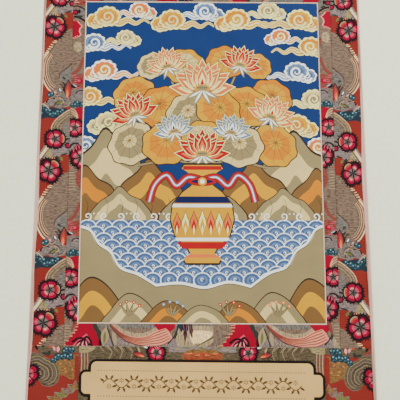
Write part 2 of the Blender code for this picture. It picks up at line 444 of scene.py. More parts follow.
@dataclass(frozen=True)
class Blossom:
    """A brocade flower: saw-toothed dark rim, crimson petals, a rosy band, a grey throat, dark veins."""

    radius: float
    petals: int = 5
    start: float = 90.0
    folded: int = 2
    dark: int = -1
    throat: float = 0.20

    def fan(self, reach: float, spread: float = 1.0, foot: float = 0.0) -> Points:
        """A petal that widens from its root and fills its share of the circle.

        Args:
            reach: Its length, as a share of the flower's radius.
            spread: Its width, as a share of the whole.
            foot: Where its root lies.

        Returns:
            The closed outline, pointing up.
        """
        half = math.tan(math.pi / self.petals) * spread
        rows = ((0.02, 0.02), (0.26, 0.28), (0.52, 0.56), (0.66, 0.78), (0.46, 0.94))
        right = [(x * half, foot + (reach - foot) * y) for x, y in rows]
        return smooth(right + [(0.0, reach)] + [(-x, y) for x, y in reversed(right)], True, 4)

    def layers(self, index: int) -> Iterable[tuple]:
        """The patches of one petal, from its rim inwards: outline and yarn.

        Args:
            index: Which petal. The folded one shows its red back and a pale edge.

        Returns:
            The rows of the petal's pile.
        """
        if index == self.folded:
            rows = ((0.81, 0.80, 0, STRAW), (0.72, 0.78, 0, FLAME), (0.57, 0.66, 0, PETAL), (0.34, 0.50, 0, ASH))
            veins = ()
        else:
            body = WINE if index == self.dark else PETAL
            glow = BLUSH if index % 3 == 1 else ROSE
            rows = (
                (0.84, 0.82, 0, WINE), (0.79, 0.72, 0, body), (0.73, 0.43, 0.16, CRIMSON),
                (self.throat + 0.36, 0.52, 0.10, ROSE), (self.throat + 0.27, 0.38, 0.08, glow),
                (self.throat + 0.13, 0.36, 0.06, ASH),
            )
            veins = (-0.16, 0.13)
        yield from ((self.fan(reach, spread, foot), dye) for reach, spread, foot, dye in rows)
        yield from ((stroke([(0.2 * x, 0.10), (x, 0.70)], 0.035, 0.6), WINE) for x in veins)

    def draw(self) -> Drawing:
        """Draws the flower round the origin."""
        made = Drawing()
        r = self.radius
        step = 360 / self.petals
        sizes = (1.0, 0.94, 1.04, 0.96, 1.02, 0.93)
        spots = [Place(0, 0, self.start + step * i - 90, r * sizes[i % 6]) for i in range(self.petals)]
        for i, spot in enumerate(spots):
            made.add(spot.move(toothed(self.fan(0.92 if i == self.folded else 1.0, 1.04), 0.16, 3)), NIGHT)
        for i, spot in enumerate(spots):
            made.pile(spot, self.layers(i))
        for i in range(self.petals):
            seam = stroke([(0, 0.02), (0.01, 0.84)], 0.085, 0.1)
            made.add(Place(0, 0, self.start + step * (i + 0.5) - 90, r).move(seam), NIGHT)
        made.add(oval(0.20 * r, 0.17 * r, 0, 0, 10), MOSS)
        return made


@dataclass(frozen=True)
class Floret:
    """A small floret of overlapping teal petals with pale glints on a slate edge."""

    radius: float
    start: float = 20.0

    def draw(self) -> Drawing:
        """Draws the floret round the origin."""
        made = Drawing()
        r = self.radius
        made.add(scalloped(1.75 * r, 1.65 * r, 5, 0.20, self.start), SLATE)
        for turn, share, dye in ((0, 1.0, TEAL), (118, 0.86, LAKE), (236, 0.94, TEAL), (176, 0.62, LAKE)):
            rows = [
                (oval(1.02, 1.04, 0, 0.46, 14), SLATE), (oval(0.84, 0.86, 0, 0.46, 14), dye),
                (oval(0.44, 0.34, 0.08, 0.58, 10), POND),
            ]
            if dye is TEAL:
                rows.append((oval(0.24, 0.40, -0.12, 0.50, 8), ICE))
            made.pile(Place(0, 0, self.start + turn, r * share), rows)
        return made


@dataclass(frozen=True)
class Pebble:
    """A round grey petal inside a dark arc, as behind the teal florets."""

    width: float
    height: float
    arc: Dye = WINE

    def draw(self) -> Drawing:
        """Draws the petal round the origin, its arc on top."""
        made = Drawing()
        w, h = self.width, self.height
        arc = ((-0.60, -0.2), (-0.42, 0.42), (0, 0.66), (0.42, 0.50), (0.56, 0))
        rim = ((-0.52, -0.3), (-0.34, 0.34), (0.02, 0.52), (0.40, 0.36), (0.46, -0.4))
        made.patch([(x * w, y * h) for x, y in arc], self.arc)
        made.patch([(x * w, y * h) for x, y in rim], HAZE, 0.8)
        made.add(oval(0.84 * w, 0.84 * h, 0, -0.06 * h, 18), ASH, 0.8)
        made.add(oval(0.50 * w, 0.44 * h, 0.06 * w, -0.10 * h, 14), HAZE, 0.6)
        return made


@dataclass(frozen=True)
class AshPetals:
    """A fan of grey petals with wine outlines that backs the teal florets."""

    count: int = 4
    spread: float = 150.0
    length: float = 17.0

    def draw(self) -> Drawing:
        """Draws the fan, opening upwards from the origin."""
        made = Drawing()
        n = self.length
        for i in range(self.count):
            made.pile(Place(0, 0, self.spread * (i / (self.count - 1) - 0.5)), (
                (petal(n, 0.62 * n), WINE), (petal(0.9 * n, 0.50 * n), ASH, 0.5),
                (petal(0.6 * n, 0.26 * n), MAUVE), (stroke([(0, 2), (0, 0.8 * n)], 0.9, 0.6), BLUSH),
            ))
        return made


@dataclass(frozen=True)
class Bud:
    """A closed flame-coloured bud in small dark leaves."""

    length: float = 26.0

    def draw(self) -> Drawing:
        """Draws the bud, pointing up from the origin."""
        made = Drawing()
        n = self.length
        small = ((38, 0.55), (-34, 0.6), (66, 0.42), (-62, 0.45))
        made.leaves((0, 0.5 * n, turn, size * n, 0.16 * n, MOSS, 2) for turn, size in small)
        made.leaves((x * n, 0, 0, length * n, width * n, dye, 0) for x, length, width, dye in (
            (0, 1.08, 0.48, WINE), (0, 1.0, 0.38, RUST), (-0.07, 0.86, 0.10, PETAL),
            (0.03, 0.78, 0.22, FLAME), (0.05, 0.52, 0.15, CORAL), (0.05, 0.28, 0.08, PEACH),
        ))
        return made


@dataclass(frozen=True)
class Spray:
    """A stem with paired leaves."""

    pairs: int
    length: float

    def draw(self) -> Drawing:
        """Draws the spray, growing up from the origin."""
        made = Drawing()
        stem = [(2.5 * math.sin(i / 5), self.length * i / 10) for i in range(11)]
        made.add(stroke(stem, 1.6, 0.5), FAWN)
        for i in range(self.pairs):
            size = 15.0 - 1.6 * i
            for turn in (52, -52):
                made.pile(Place(*stem[round(10 * (i + 0.6) / self.pairs)], turn), (
                    (blade(size, 0.46 * size), FAWN), (blade(0.9 * size, 0.30 * size), BEIGE, 0.8),
                ))
        made.add(Place(*stem[-1]).move(blade(11.0, 5.0)), BEIGE, 0.8)
        return made


@dataclass(frozen=True)
class Fold:
    """A soft rise of the cloth off the floor, in metres from the middle of the picture."""

    x: float
    y: float
    half_length: float
    half_width: float
    turn: float
    height: float


@dataclass(frozen=True)
class Station:
    """How the cloth lies at one place along its length, in metres."""

    y: float
    left: float
    right: float
    fall: float


@dataclass(frozen=True)
class Lie:
    """How the flat cut lies on the floor: the same folds and stations as the CAD solids."""

    folds: tuple[Fold, ...] = tuple(Fold(*row) for row in (
        (0.074, 0.094, 0.190, 0.024, -57.5, 0.0022), (-0.130, -0.120, 0.150, 0.070, 20.0, 0.0012),
        (0.120, -0.205, 0.130, 0.060, -15.0, 0.0012), (-0.300, 0.235, 0.085, 0.040, 90.0, 0.0026),
        (-0.302, 0.030, 0.110, 0.046, 86.0, 0.0034), (-0.300, -0.200, 0.090, 0.040, 92.0, 0.0030),
        (-0.306, -0.395, 0.075, 0.052, 84.0, 0.0040), (0.300, 0.290, 0.080, 0.040, 92.0, 0.0028),
        (0.298, 0.085, 0.100, 0.044, 88.0, 0.0032), (0.300, -0.125, 0.085, 0.038, 90.0, 0.0026),
        (0.306, -0.330, 0.105, 0.050, 95.0, 0.0042), (-0.170, 0.470, 0.095, 0.060, 0.0, 0.0038),
        (0.115, 0.470, 0.115, 0.052, 4.0, 0.0032), (-0.195, -0.530, 0.100, 0.055, -3.0, 0.0040),
        (0.060, -0.535, 0.080, 0.042, 0.0, 0.0028), (0.292, -0.528, 0.080, 0.062, 35.0, 0.0058),
    ))
    stations: tuple[Station, ...] = tuple(Station(*row) for row in (
        (0.480, -0.0010, -0.0020, 0.000), (0.210, -0.0014, -0.0020, 0.000), (0.060, 0.0005, -0.0024, 0.000),
        (-0.070, 0.0000, -0.0031, 0.001), (-0.230, 0.0020, 0.0000, 0.003), (-0.345, 0.0022, 0.0011, 0.010),
        (-0.409, 0.0052, 0.0028, 0.018), (-0.440, 0.0068, 0.0036, 0.019), (-0.540, 0.0088, 0.0052, 0.019),
    ))
    middle: Point = (-0.0016, -0.0355)
    outward_from: float = 0.248
    outward_over: float = 0.053

    @staticmethod
    def ease(share: np.ndarray) -> np.ndarray:
        """A smooth step from 0 to 1."""
        share = np.clip(share, 0.0, 1.0)
        return share * share * (3.0 - 2.0 * share)

    def station_values(self, y: np.ndarray) -> tuple[np.ndarray, np.ndarray, np.ndarray]:
        """Left spread, right spread and fall at each y, eased between stations."""
        columns = [(s.left, s.right, s.fall) for s in self.stations]
        made = np.tile(np.array(columns[0]), (len(y), 1))
        for upper, lower, a, b in zip(self.stations, self.stations[1:], columns, columns[1:]):
            share = self.ease((upper.y - y) / (upper.y - lower.y))[:, None]
            made = np.where((y < upper.y)[:, None], np.array(a) + share * (np.array(b) - np.array(a)), made)
        return made[:, 0], made[:, 1], made[:, 2]

    def rise(self, x: np.ndarray, y: np.ndarray) -> np.ndarray:
        """Height of the cloth's underside over the floor."""
        made = np.zeros(len(x))
        for f in self.folds:
            turn = math.radians(f.turn)
            along = (x - f.x) * math.cos(turn) + (y - f.y) * math.sin(turn)
            across = (y - f.y) * math.cos(turn) - (x - f.x) * math.sin(turn)
            reach = np.minimum(np.hypot(along / f.half_length, across / f.half_width), 1.0)
            made += f.height * np.cos(reach * math.pi / 2) ** 2
        return made

    def lay(self, points: np.ndarray, lift: np.ndarray | float) -> np.ndarray:
        """Lays points of the flat cut on the floor.

        Args:
            points: Points of the flat cut, in millimetres from the middle of the picture.
            lift: Height over the cloth's underside, in millimetres.

        Returns:
            The points in the row frame, in metres.
        """
        x, y = points[:, 0] * MM, points[:, 1] * MM
        left, right, fall = self.station_values(y)
        outward = self.ease((np.abs(x) - self.outward_from) / self.outward_over)
        laid_x = np.where(x < 0, x - outward * left, x + outward * right)
        laid_y = y - fall * x
        z = self.rise(laid_x, laid_y) + lift * MM
        return np.stack([laid_x - self.middle[0], laid_y - self.middle[1], z], axis=1)


LIE = Lie()


@dataclass(frozen=True)
class Signal:
    """A value or a vector in a material's nodes, open to plain arithmetic."""

    socket: bpy.types.NodeSocket

    def calc(self, kind: str, *others: object, family: str = "ShaderNodeMath") -> "Signal":
        """Works on this value in a node.

        Args:
            kind: The node's operation.
            others: Its further inputs: signals, numbers or vectors, or None for one left alone.
            family: The node's type.

        Returns:
            The node's first output.
        """
        tree = self.socket.id_data
        node = tree.nodes.new(family)
        node.operation = kind
        for entry, value in zip(node.inputs, (self, *others)):
            if isinstance(value, Signal):
                tree.links.new(value.socket, entry)
            elif value is not None:
                entry.default_value = value
        return Signal(node.outputs[0])

    def vector(self, kind: str, *others: object) -> "Signal":
        """Works on this vector in a Vector Math node."""
        return self.calc(kind, *others, family="ShaderNodeVectorMath")

    def __add__(self, other: "Signal | float") -> "Signal":
        """The sum."""
        return self.calc("ADD", other)

    def __sub__(self, other: "Signal | float") -> "Signal":
        """The difference."""
        return self.calc("SUBTRACT", other)

    def __mul__(self, other: "Signal | float") -> "Signal":
        """The product."""
        return self.calc("MULTIPLY", other)


@dataclass(frozen=True)
class Finish:
    """How one cloth is woven and how it takes the light."""

    name: str
    thread: float
    ridge: float
    roughness: float
    sheen: float
    streak: float
    hatch: float = 2.1

    def material(self, grain: Grain) -> bpy.types.Material:
        """The cloth's material for one direction of its weft, made once for each."""
        name = f"{self.name}_{grain.name.lower()}"
        made = bpy.data.materials.get(name)
        if made is None:
            made = bpy.data.materials.new(name)
            made.use_nodes = True
            self.wire(made.node_tree, grain)
        return made

    def wire(self, tree: bpy.types.NodeTree, grain: Grain) -> None:
        """Wires yarn colours, threads, hatching and slubs into the material; the threads also darken the colour in the
        gaps between them as painted shade.
        """
        shader = tree.nodes["Principled BSDF"]
        shader.inputs["Sheen Weight"].default_value = self.sheen
        shader.inputs["Sheen Roughness"].default_value = 0.45
        shader.inputs["Specular IOR Level"].default_value = 0.06

        def read(name: str, output: str) -> Signal:
            """Reads one of the mesh's attributes."""
            made = tree.nodes.new("ShaderNodeAttribute")
            made.attribute_name = name
            return Signal(made.outputs[output])

        def noise(where: Signal, detail: float, output: str = "Fac") -> Signal:
            """Soft noise at a place given in its own grain's size."""
            made = tree.nodes.new("ShaderNodeTexNoise")
            made.inputs["Scale"].default_value = 1.0
            made.inputs["Detail"].default_value = detail
            tree.links.new(where.socket, made.inputs["Vector"])
            return Signal(made.outputs[output])

        flat = read("cut", "Vector")
        split = tree.nodes.new("ShaderNodeSeparateXYZ")
        tree.links.new(flat.socket, split.inputs[0])
        across, along = Signal(split.outputs[0]), Signal(split.outputs[1])
        warp, weft = (along, across) if grain is Grain.ALONG else (across, along)

        def threads(way: Signal, pitch: float) -> Signal:
            """Rounded ridges across one direction, from 0 to 1."""
            return (way * (math.pi / pitch)).calc("SINE").calc("ABSOLUTE")

        def streaks(length: float, width: float, detail: float) -> Signal:
            """Noise drawn out along the weft, as slubs and dashes of thread, round 0."""
            joined = tree.nodes.new("ShaderNodeCombineXYZ")
            for i, part in enumerate((warp * (1 / length), weft * (1 / width))):
                tree.links.new(part.socket, joined.inputs[i])
            return noise(Signal(joined.outputs[0]), detail) - 0.5

        weave = (threads(warp, self.thread * 1.25) * 0.8).calc("MAXIMUM", threads(weft, self.thread))
        slub = streaks(22.0, 1.1, 2.0)
        rib = read("rib", "Fac")
        lines = (weft * (FULL_TURN / self.hatch)).calc("SINE")
        drawn = (lines * 0.22 + streaks(7.0, 2.2, 1.5) * 2.3) * rib
        patched = streaks(70.0, 60.0, 3.0) * 0.30
        # The weave term darkens the yarn colour in the gaps between threads and lightens it on their tops: painted
        # shade between the threads.
        value = slub * self.streak + patched + (weave - 0.8) * 0.22 + drawn + 1.0

        grain_size = (0.16, 0.42, 1.0) if grain is Grain.ACROSS else (0.42, 0.16, 1.0)
        veer = noise(flat.vector("MULTIPLY", grain_size), 2.0, "Color").vector("ADD", (-0.5, -0.5, -0.5))
        share = veer.vector("SCALE", None, None, rib * 0.45)
        yarn = read("dye", "Color")
        tint = yarn.vector("MULTIPLY_ADD", share, yarn).vector("SCALE", None, None, value)
        tree.links.new(tint.socket, shader.inputs["Base Color"])
        tree.links.new((slub * -0.25 + self.roughness).socket, shader.inputs["Roughness"])

        bump = tree.nodes.new("ShaderNodeBump")
        bump.inputs["Strength"].default_value = self.ridge
        bump.inputs["Distance"].default_value = 0.0003
        height = weave + slub * 0.6 + drawn * 0.5
        tree.links.new(height.socket, bump.inputs["Height"])
        tree.links.new(bump.outputs[0], shader.inputs["Normal"])


PICTURE_WEAVE = Finish("picture_weave", thread=0.75, ridge=0.35, roughness=0.62, sheen=0.01, streak=0.14)
BROCADE_WEAVE = Finish("brocade_weave", thread=0.95, ridge=0.55, roughness=0.72, sheen=0.01, streak=0.34)
TABLET_WEAVE = Finish("tablet_weave", thread=0.60, ridge=0.25, roughness=0.58, sheen=0.02, streak=0.08)
SELVAGE_WEAVE = Finish("selvage_weave", thread=0.80, ridge=0.50, roughness=0.80, sheen=0.02, streak=0.25)
CORD_PLY = Finish("cord_ply", thread=0.35, ridge=0.30, roughness=0.60, sheen=0.01, streak=0.20)


def dressed(mesh: bpy.types.Mesh, node: str, slot: str) -> bpy.types.Object:
    """Puts a finished mesh in the scene as the looks of one CAD node.

    Args:
        mesh: The mesh, named as the piece.
        node: The CAD node that it stands for.
        slot: The name of a material slot; not used.

    Returns:
        The piece, riding on the root body.
    """
    piece = bpy.data.objects.new(mesh.name, mesh)
    bpy.context.scene.collection.objects.link(piece)
    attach(piece, "root")
    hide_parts(node)
    LOG.info("%s: %d faces", piece.name, len(mesh.polygons))
    return piece


@dataclass
class Cloth:
    """One cut piece of cloth: outline, ground, drawing, thickness and weave."""

    name: str
    node: str
    slot: str
    outline: Points
    ground: Dye
    finish: Finish
    thick: float
    base: float = 0.0
    drawing: Drawing = field(default_factory=Drawing)
    ground_rib: float = 0.0
    grain: Grain = Grain.ACROSS
    pitch: float = 6.0
    pucker: float = 0.0
    under_pitch: float = 18.0
    hem: float | None = None
    crown: float = 0.0

    def limits(self) -> tuple[float, float, float, float]:
        """Left, bottom, right and top of the cut."""
        xs, ys = zip(*self.outline)
        return min(xs), min(ys), max(xs), max(ys)

    def grid(self, pitch: float) -> Points:
        """Points inside the outline that let the cloth bend."""
        left, bottom, right, top = self.limits()
        width, height = right - left, top - bottom
        across, along = (max(2, math.ceil(size / pitch)) for size in (width, height))
        return [
            (left + width * i / across, bottom + height * j / along)
            for i in range(1, across) for j in range(1, along)
        ]

    def rim(self) -> Points:
        """Two rows of points just inside the outline, for its rolled edge."""
        made = []
        closed = self.outline + self.outline[:1]
        for (x0, y0), (x1, y1) in zip(closed, closed[1:]):
            size = math.hypot(x1 - x0, y1 - y0)
            count = max(1, round(size / self.pitch))
            for inset in (0.7, 2.2):
                if size < 3 * inset:
                    continue
                for i in range(count):
                    share = (i + 0.5) / count
                    x = x0 + (x1 - x0) * share - (y1 - y0) / size * inset
                    y = y0 + (y1 - y0) * share + (x1 - x0) / size * inset
                    made.append((x, y))
        return made

    def edge_distance(self, points: np.ndarray) -> tuple[np.ndarray, np.ndarray]:
        """How far each point is from the outline, and how far along it that nearest place is."""
        best = np.full(len(points), np.inf)
        along = np.zeros(len(points))
        closed = np.array(self.outline + self.outline[:1])
        run = 0.0
        for a, b in zip(closed, closed[1:]):
            size = float(np.hypot(*(b - a)))
            way = (b - a) / max(size, 1e-6)
            t = np.clip((points - a) @ way, 0, size)
            away = np.hypot(*(points - a - t[:, None] * way).T)
            along = np.where(away < best, run + t, along)
            best = np.minimum(best, away)
            run += size
        return best, along

    def relief(self, points: np.ndarray) -> np.ndarray:
        """Height of the face over the laid cloth, in millimetres: rolled edges and puckers."""
        away, along = self.edge_distance(points)
        made = np.full(len(points), self.thick)
        made -= 0.42 * self.thick * np.exp(-((away / 0.8) ** 2))
        wave = np.sin(along * FULL_TURN / 11.0 + 1.3 * np.sin(along / 23.0))
        made += self.pucker * wave * np.exp(-away / 6.0) * (1 - np.exp(-away / 1.2))
        made += self.crown * (1 - np.exp(-((away / 9.0) ** 2)))
        if self.hem is not None:
            inside = Lie.ease((np.abs(points[:, 1]) - abs(self.hem)) / 1.5)
            made += inside * self.thick
        return made

    @staticmethod
    def seen(shapes: list[Shape]) -> list[Shape]:
        """Leaves out the patches that lie wholly under one later patch."""
        lows = np.array([np.min(s.points, axis=0) for s in shapes]).reshape(-1, 2)
        highs = np.array([np.max(s.points, axis=0) for s in shapes]).reshape(-1, 2)
        made = []
        for i, shape in enumerate(shapes):
            ring = np.array(shape.points)
            probes = np.concatenate([ring, (ring + np.roll(ring, 1, axis=0)) / 2])
            over = np.nonzero(np.all((lows[i + 1:] <= lows[i]) & (highs[i + 1:] >= highs[i]), axis=1))[0]
            if not any(shapes[i + 1 + j].covers(probes).all() for j in over):
                made.append(shape)
        return made

    def inlay(self) -> tuple[np.ndarray, list[tuple[int, ...]], list[Shape | None]]:
        """Cuts the drawing into triangles.

        Returns:
            The flat points, the triangles, and for each triangle its topmost patch, or None
            where the ground is bare.
        """
        shapes = self.seen([s for s in self.drawing.shapes if s.meets(*self.limits())])
        points: Points = []
        edges = []
        for outline in [self.outline] + [s.points for s in shapes]:
            first, count = len(points), len(outline)
            edges.extend((first + i, first + (i + 1) % count) for i in range(count))
            points.extend(outline)
        points.extend(self.rim() + self.grid(self.pitch))
        vectors = [Vector(p) for p in points]
        flat, _, cut, _, _, _ = delaunay_2d_cdt(vectors, edges, [], 0, WELD, False)
        where, triangles = np.array([tuple(p) for p in flat]), np.array([tuple(t) for t in cut])
        middles = where[triangles].mean(axis=1)
        inside = Shape(tuple(self.outline), self.ground).covers(middles)
        triangles, middles = triangles[inside], middles[inside]
        top = np.zeros(len(triangles), int)
        for i, shape in enumerate(shapes):
            top[shape.covers(middles)] = i + 1
        used, numbers = np.unique(triangles, return_inverse=True)
        patches = [None] + shapes
        return where[used], [tuple(t) for t in numbers.reshape(-1, 3).tolist()], [patches[i] for i in top]

    @staticmethod
    def boundary(triangles: list[tuple[int, ...]]) -> list[tuple[int, int]]:
        """The directed edges that only one triangle has."""
        edges = {(t[k], t[(k + 1) % 3]) for t in triangles for k in range(3)}
        return [(a, b) for a, b in edges if (b, a) not in edges]

    def underside(
        self, where: np.ndarray, rim: list[tuple[int, int]]
    ) -> tuple[np.ndarray, list[list[int]], dict[int, int]]:
        """Cuts the plain underside to the same edge as the face.

        Args:
            where: The flat points of the face.
            rim: The directed edges round the face.

        Returns:
            The underside's flat points, its triangles, and which of its points is under each
            point of the face's edge.
        """
        following = dict(rim)
        start = rim[0][0]
        loop = [start]
        while following[loop[-1]] != start:
            loop.append(following[loop[-1]])
        points = [tuple(where[i]) for i in loop]
        vectors = [Vector(p) for p in points + self.grid(self.under_pitch)]
        flat, _, triangles, origins, _, covers = delaunay_2d_cdt(
            vectors, [], [list(range(len(points)))], 1, WELD, True
        )
        kept = [list(t) for t, c in zip(triangles, covers) if 0 in c]
        under = {}
        for new, olds in enumerate(origins):
            for old in olds:
                if old < len(loop):
                    under[loop[old]] = new
        return np.array([tuple(p) for p in flat]), kept, under

    def build(self) -> bpy.types.Object:
        """Makes the closed mesh, its yarn colours and its material.

        Returns:
            The piece, riding on the root body in place of its CAD node.
        """
        where, triangles, patches = self.inlay()
        rim = self.boundary(triangles)
        below, under_triangles, under = self.underside(where, rim)
        count = len(where)
        top = LIE.lay(where, self.base + self.relief(where))
        bottom = LIE.lay(below, self.base)
        faces = list(triangles)
        faces += [tuple(count + i for i in reversed(t)) for t in under_triangles]
        faces += [(b, a, count + under[a], count + under[b]) for a, b in rim]

        mesh = bpy.data.meshes.new(self.name)
        mesh.from_pydata(np.concatenate([top, bottom]).tolist(), [], faces)
        self.colour(mesh, patches)
        cut = mesh.attributes.new("cut", "FLOAT_VECTOR", "POINT")
        flat = np.concatenate([where, below])
        cut.data.foreach_set("vector", np.column_stack([flat, np.zeros(len(flat))]).ravel())
        mesh.shade_smooth()
        mesh.set_sharp_from_angle(angle=math.radians(40))
        mesh.materials.append(self.finish.material(self.grain))
        return dressed(mesh, self.node, self.slot)

    def colour(self, mesh: bpy.types.Mesh, patches: list[Shape | None]) -> None:
        """Gives each face its yarn: the topmost patch on the face side, the ground elsewhere."""
        bare = Shape((), self.ground, self.ground_rib)
        shapes = [s or bare for s in patches] + [bare] * (len(mesh.polygons) - len(patches))
        sizes = np.zeros(len(shapes), int)
        mesh.polygons.foreach_get("loop_total", sizes)
        linear = np.array([s.dye.linear for s in shapes])
        dye = mesh.color_attributes.new("dye", "FLOAT_COLOR", "CORNER")
        dye.data.foreach_set("color", np.repeat(linear, sizes, axis=0).ravel())
        rib = mesh.attributes.new("rib", "FLOAT", "FACE")
        rib.data.foreach_set("value", np.array([s.rib for s in shapes]))

    def flat_size(self) -> Point:
        """Width and length of the cut, in metres."""
        left, bottom, right, top = self.limits()
        return (right - left) * MM, (top - bottom) * MM

    def flat_area(self) -> float:
        """Area of the cut, in square metres."""
        closed = self.outline + self.outline[:1]
        return abs(sum(a[0] * b[1] - b[0] * a[1] for a, b in zip(closed, closed[1:]))) / 2 * MM * MM

    def declare(
        self, piece: bpy.types.Object, rests_on: str = "floor", with_pieces: Sequence[bpy.types.Object] = ()
    ) -> None:
        """Works out the size and area of the cut, and does nothing more with the piece."""
        self.flat_size()
        self.flat_area()


@dataclass(frozen=True)
class Cut:
    """Lines of the layout in millimetres from the middle of the picture, as the CAD has them."""

    picture_x: float = 222.0
    picture_y: float = 302.5
    edging_radius: float = 0.9
    edging_lift: float = 0.6
    seam: float = 0.3
    band_side: float = 23.6
    band_end: float = 39.6
    border_side: float = 53.0
    selvage: float = 3.0
    top_depth: float = 120.0
    foot_depth: float = 185.0
    foot_seam: float = 219.5
    hem: float = 32.0
    tablet_drop: float = 64.5
    picture_thick: float = 1.3
    brocade_thick: float = 1.6
    selvage_thick: float = 1.0
    tablet_thick: float = 1.0

    @property
    def band_in(self) -> Point:
        """Inner corner of the band."""
        slot = 2 * self.edging_radius + 2 * self.seam
        return self.picture_x + slot, self.picture_y + slot

    @property
    def band_out(self) -> Point:
        """Outer corner of the band."""
        return self.band_in[0] + self.band_side, self.band_in[1] + self.band_end

    @property
    def border_x(self) -> float:
        """Outer line of the side borders."""
        return self.band_out[0] + self.border_side

    @property
    def top_y(self) -> float:
        """The top end of the scroll."""
        return self.band_out[1] + self.top_depth

    @property
    def foot_y(self) -> float:
        """The bottom end of the scroll."""
        return -self.band_out[1] - self.foot_depth

    @property
    def tablet_y(self) -> float:
        """The middle of the tablet."""
        return -self.band_out[1] - self.tablet_drop


CUT = Cut()


@dataclass(frozen=True)
class Brocade:
    """The mount's figured cloth, drawn for the right side: its left side is the mirror image."""

    repeat: float = 278.0
    end_repeat: float = 281.0

    def lines(
        self, made: Drawing, path: Points, centre: Point, rows: Iterable[tuple], taper: float, rib: float = 0.0
    ) -> None:
        """Draws lines that run inside a leaf's outer edge.

        Args:
            made: The drawing to add to.
            path: The leaf's outer edge.
            centre: The point that the lines draw in towards.
            rows: The lines, each as its share of the way out, its width and its yarn.
            taper: How much of their width is gone at their end.
            rib: How strongly the weft shows in them.
        """
        for share, width, dye in rows:
            made.add(stroke(shrunk(path, share, *centre), width, taper), dye, rib)

    def comb(self, made: Drawing, path: Points, length: float, dye: Dye, slope: float = 0.0) -> None:
        """Draws a row of short level strokes that step along a path, as the weave's steps do.

        Args:
            made: The drawing to add to.
            path: The line that the strokes start from.
            length: How far they reach inwards.
            dye: Their yarn.
            slope: How far their inner end drops.
        """
        for i, (x, y) in enumerate(path):
            reach = length * (0.75 + 0.25 * math.sin(2.3 * i))
            made.add(stroke([(x, y), (x - reach, y - slope)], 2.1, 0.5), dye)
            shade = [(x - 0.4 * reach, y - 1.6), (x - 1.2 * reach, y - 1.8 - slope)]
            made.add(stroke(shade, 0.8, 0.5), UMBER)

    def florets(self, made: Drawing, rows: Iterable[tuple]) -> None:
        """Draws florets given as x, y, radius and turn."""
        for x, y, radius, turn in rows:
            made.put(Floret(radius, turn), x, y)

    def knot(self, made: Drawing) -> None:
        """Draws the knot of grey petals, teal florets and a bud between the two leaves."""
        made.patch([(246, 128), (262, 130), (278, 126), (284, 108), (276, 94), (258, 94), (246, 100)], ASH, 0.9)
        slate = smooth([
            (306, 100), (296, 100), (284, 94), (270, 92), (256, 92),
            (254, 86), (264, 78), (276, 73), (290, 74), (306, 71),
        ])
        made.add(toothed(slate, 0.7, 3), SLATE)
        made.put(Pebble(14, 13), 269, 98, 30)
        self.florets(made, (
            (299, 94, 6.5, 30), (303, 82, 6.0, 70), (289, 87, 7.0, 62),
            (263, 86, 6.4, 10), (281, 80, 7.2, 38), (272, 83, 6.8, 8),
        ))
        made.put(Pebble(17, 15, NIGHT), 282, 103, -18)
        made.put(Pebble(10, 8, MAUVE), 291, 97, 40)
        made.put(Floret(7.0, 25), 285, 118)
        made.add(oval(6, 5, 283, 125, 10), MAUVE)
        made.leaves((
            (262, 134, 166, 14, 5, NIGHT), (271, 132, 150, 11, 5, NIGHT), (270, 131, 150, 8, 2.6, PEARL),
            (247, 148, 20, 10, 4, NIGHT), (258, 148, -50, 9, 4, MOSS), (263, 136, -60, 8, 3, MOSS),
            (264, 108, -140, 14, 4, NIGHT), (263, 106, -112, 18, 7, MOSS), (262, 106, -112, 16, 4.4, OLIVE),
            (258, 105, -112, 10, 2, STRAW), (276, 112, 160, 9, 3, HAZE), (268, 114, 170, 8, 3, SAGE),
            (274, 120, -40, 8, 3.4, BLUSH),
        ))
        for path in (
            [(276, 108), (271, 114), (262, 112), (258, 104)], [(252, 130), (248, 120), (252, 108)],
            [(287, 112), (279, 116), (272, 126)], [(264, 124), (270, 118), (276, 120)],
            [(246, 106), (252, 99), (262, 96)], [(292, 106), (297, 101), (304, 101)],
        ):
            made.line(path, 1.8, WINE, 0.6)
            made.line([(x + 1.6, y - 1.6) for x, y in path], 1.0, BISQUE, 0.6)
        made.line([(300, 101), (293, 97), (287, 90)], 2.2, BISQUE, 0.5)
        made.put(Bud(34.0), 252.5, 112)

    def side_unit(self) -> Drawing:
        """One repeat of the wide border's strip, from its leaf down to its large flower."""
        made = Drawing()
        made.patch([
            (240, 254), (252, 249), (262, 241), (278, 223), (290, 208), (298, 196),
            (304, 182), (304, 162), (300, 145), (291, 130), (276, 124), (262, 126), (240, 128),
        ], BEIGE, 1.0)
        self.comb(made, smooth([(283, 224), (292, 212), (299, 200), (305, 192)], False, 3), 8.0, CREAM, 1.0)
        edge = smooth([(293, 202), (301, 190), (304, 176), (304, 160), (300, 145), (291, 130), (283, 124)], False)
        self.lines(made, edge, (256, 172), (
            (1.00, 3.4, CREAM), (0.945, 1.4, UMBER), (0.905, 2.2, BISQUE), (0.865, 1.3, UMBER),
            (0.825, 1.9, BISQUE), (0.79, 1.1, FAWN), (0.755, 1.5, STRAW), (0.72, 0.9, FAWN),
        ), 0.4)
        made.line([(279, 218), (288, 205), (294, 190)], 1.2, UMBER, 0.3)
        made.patch([(262, 168), (250, 170), (246, 150), (252, 140), (266, 144), (269, 156)], ASH, 1.0)
        made.line([(245, 181), (260, 168), (269, 160), (271, 150)], 1.8, UMBER, 0.3)
        made.line([(246, 176), (259, 164), (266, 156), (268, 146)], 1.2, HAZE, 0.3)
        self.knot(made)

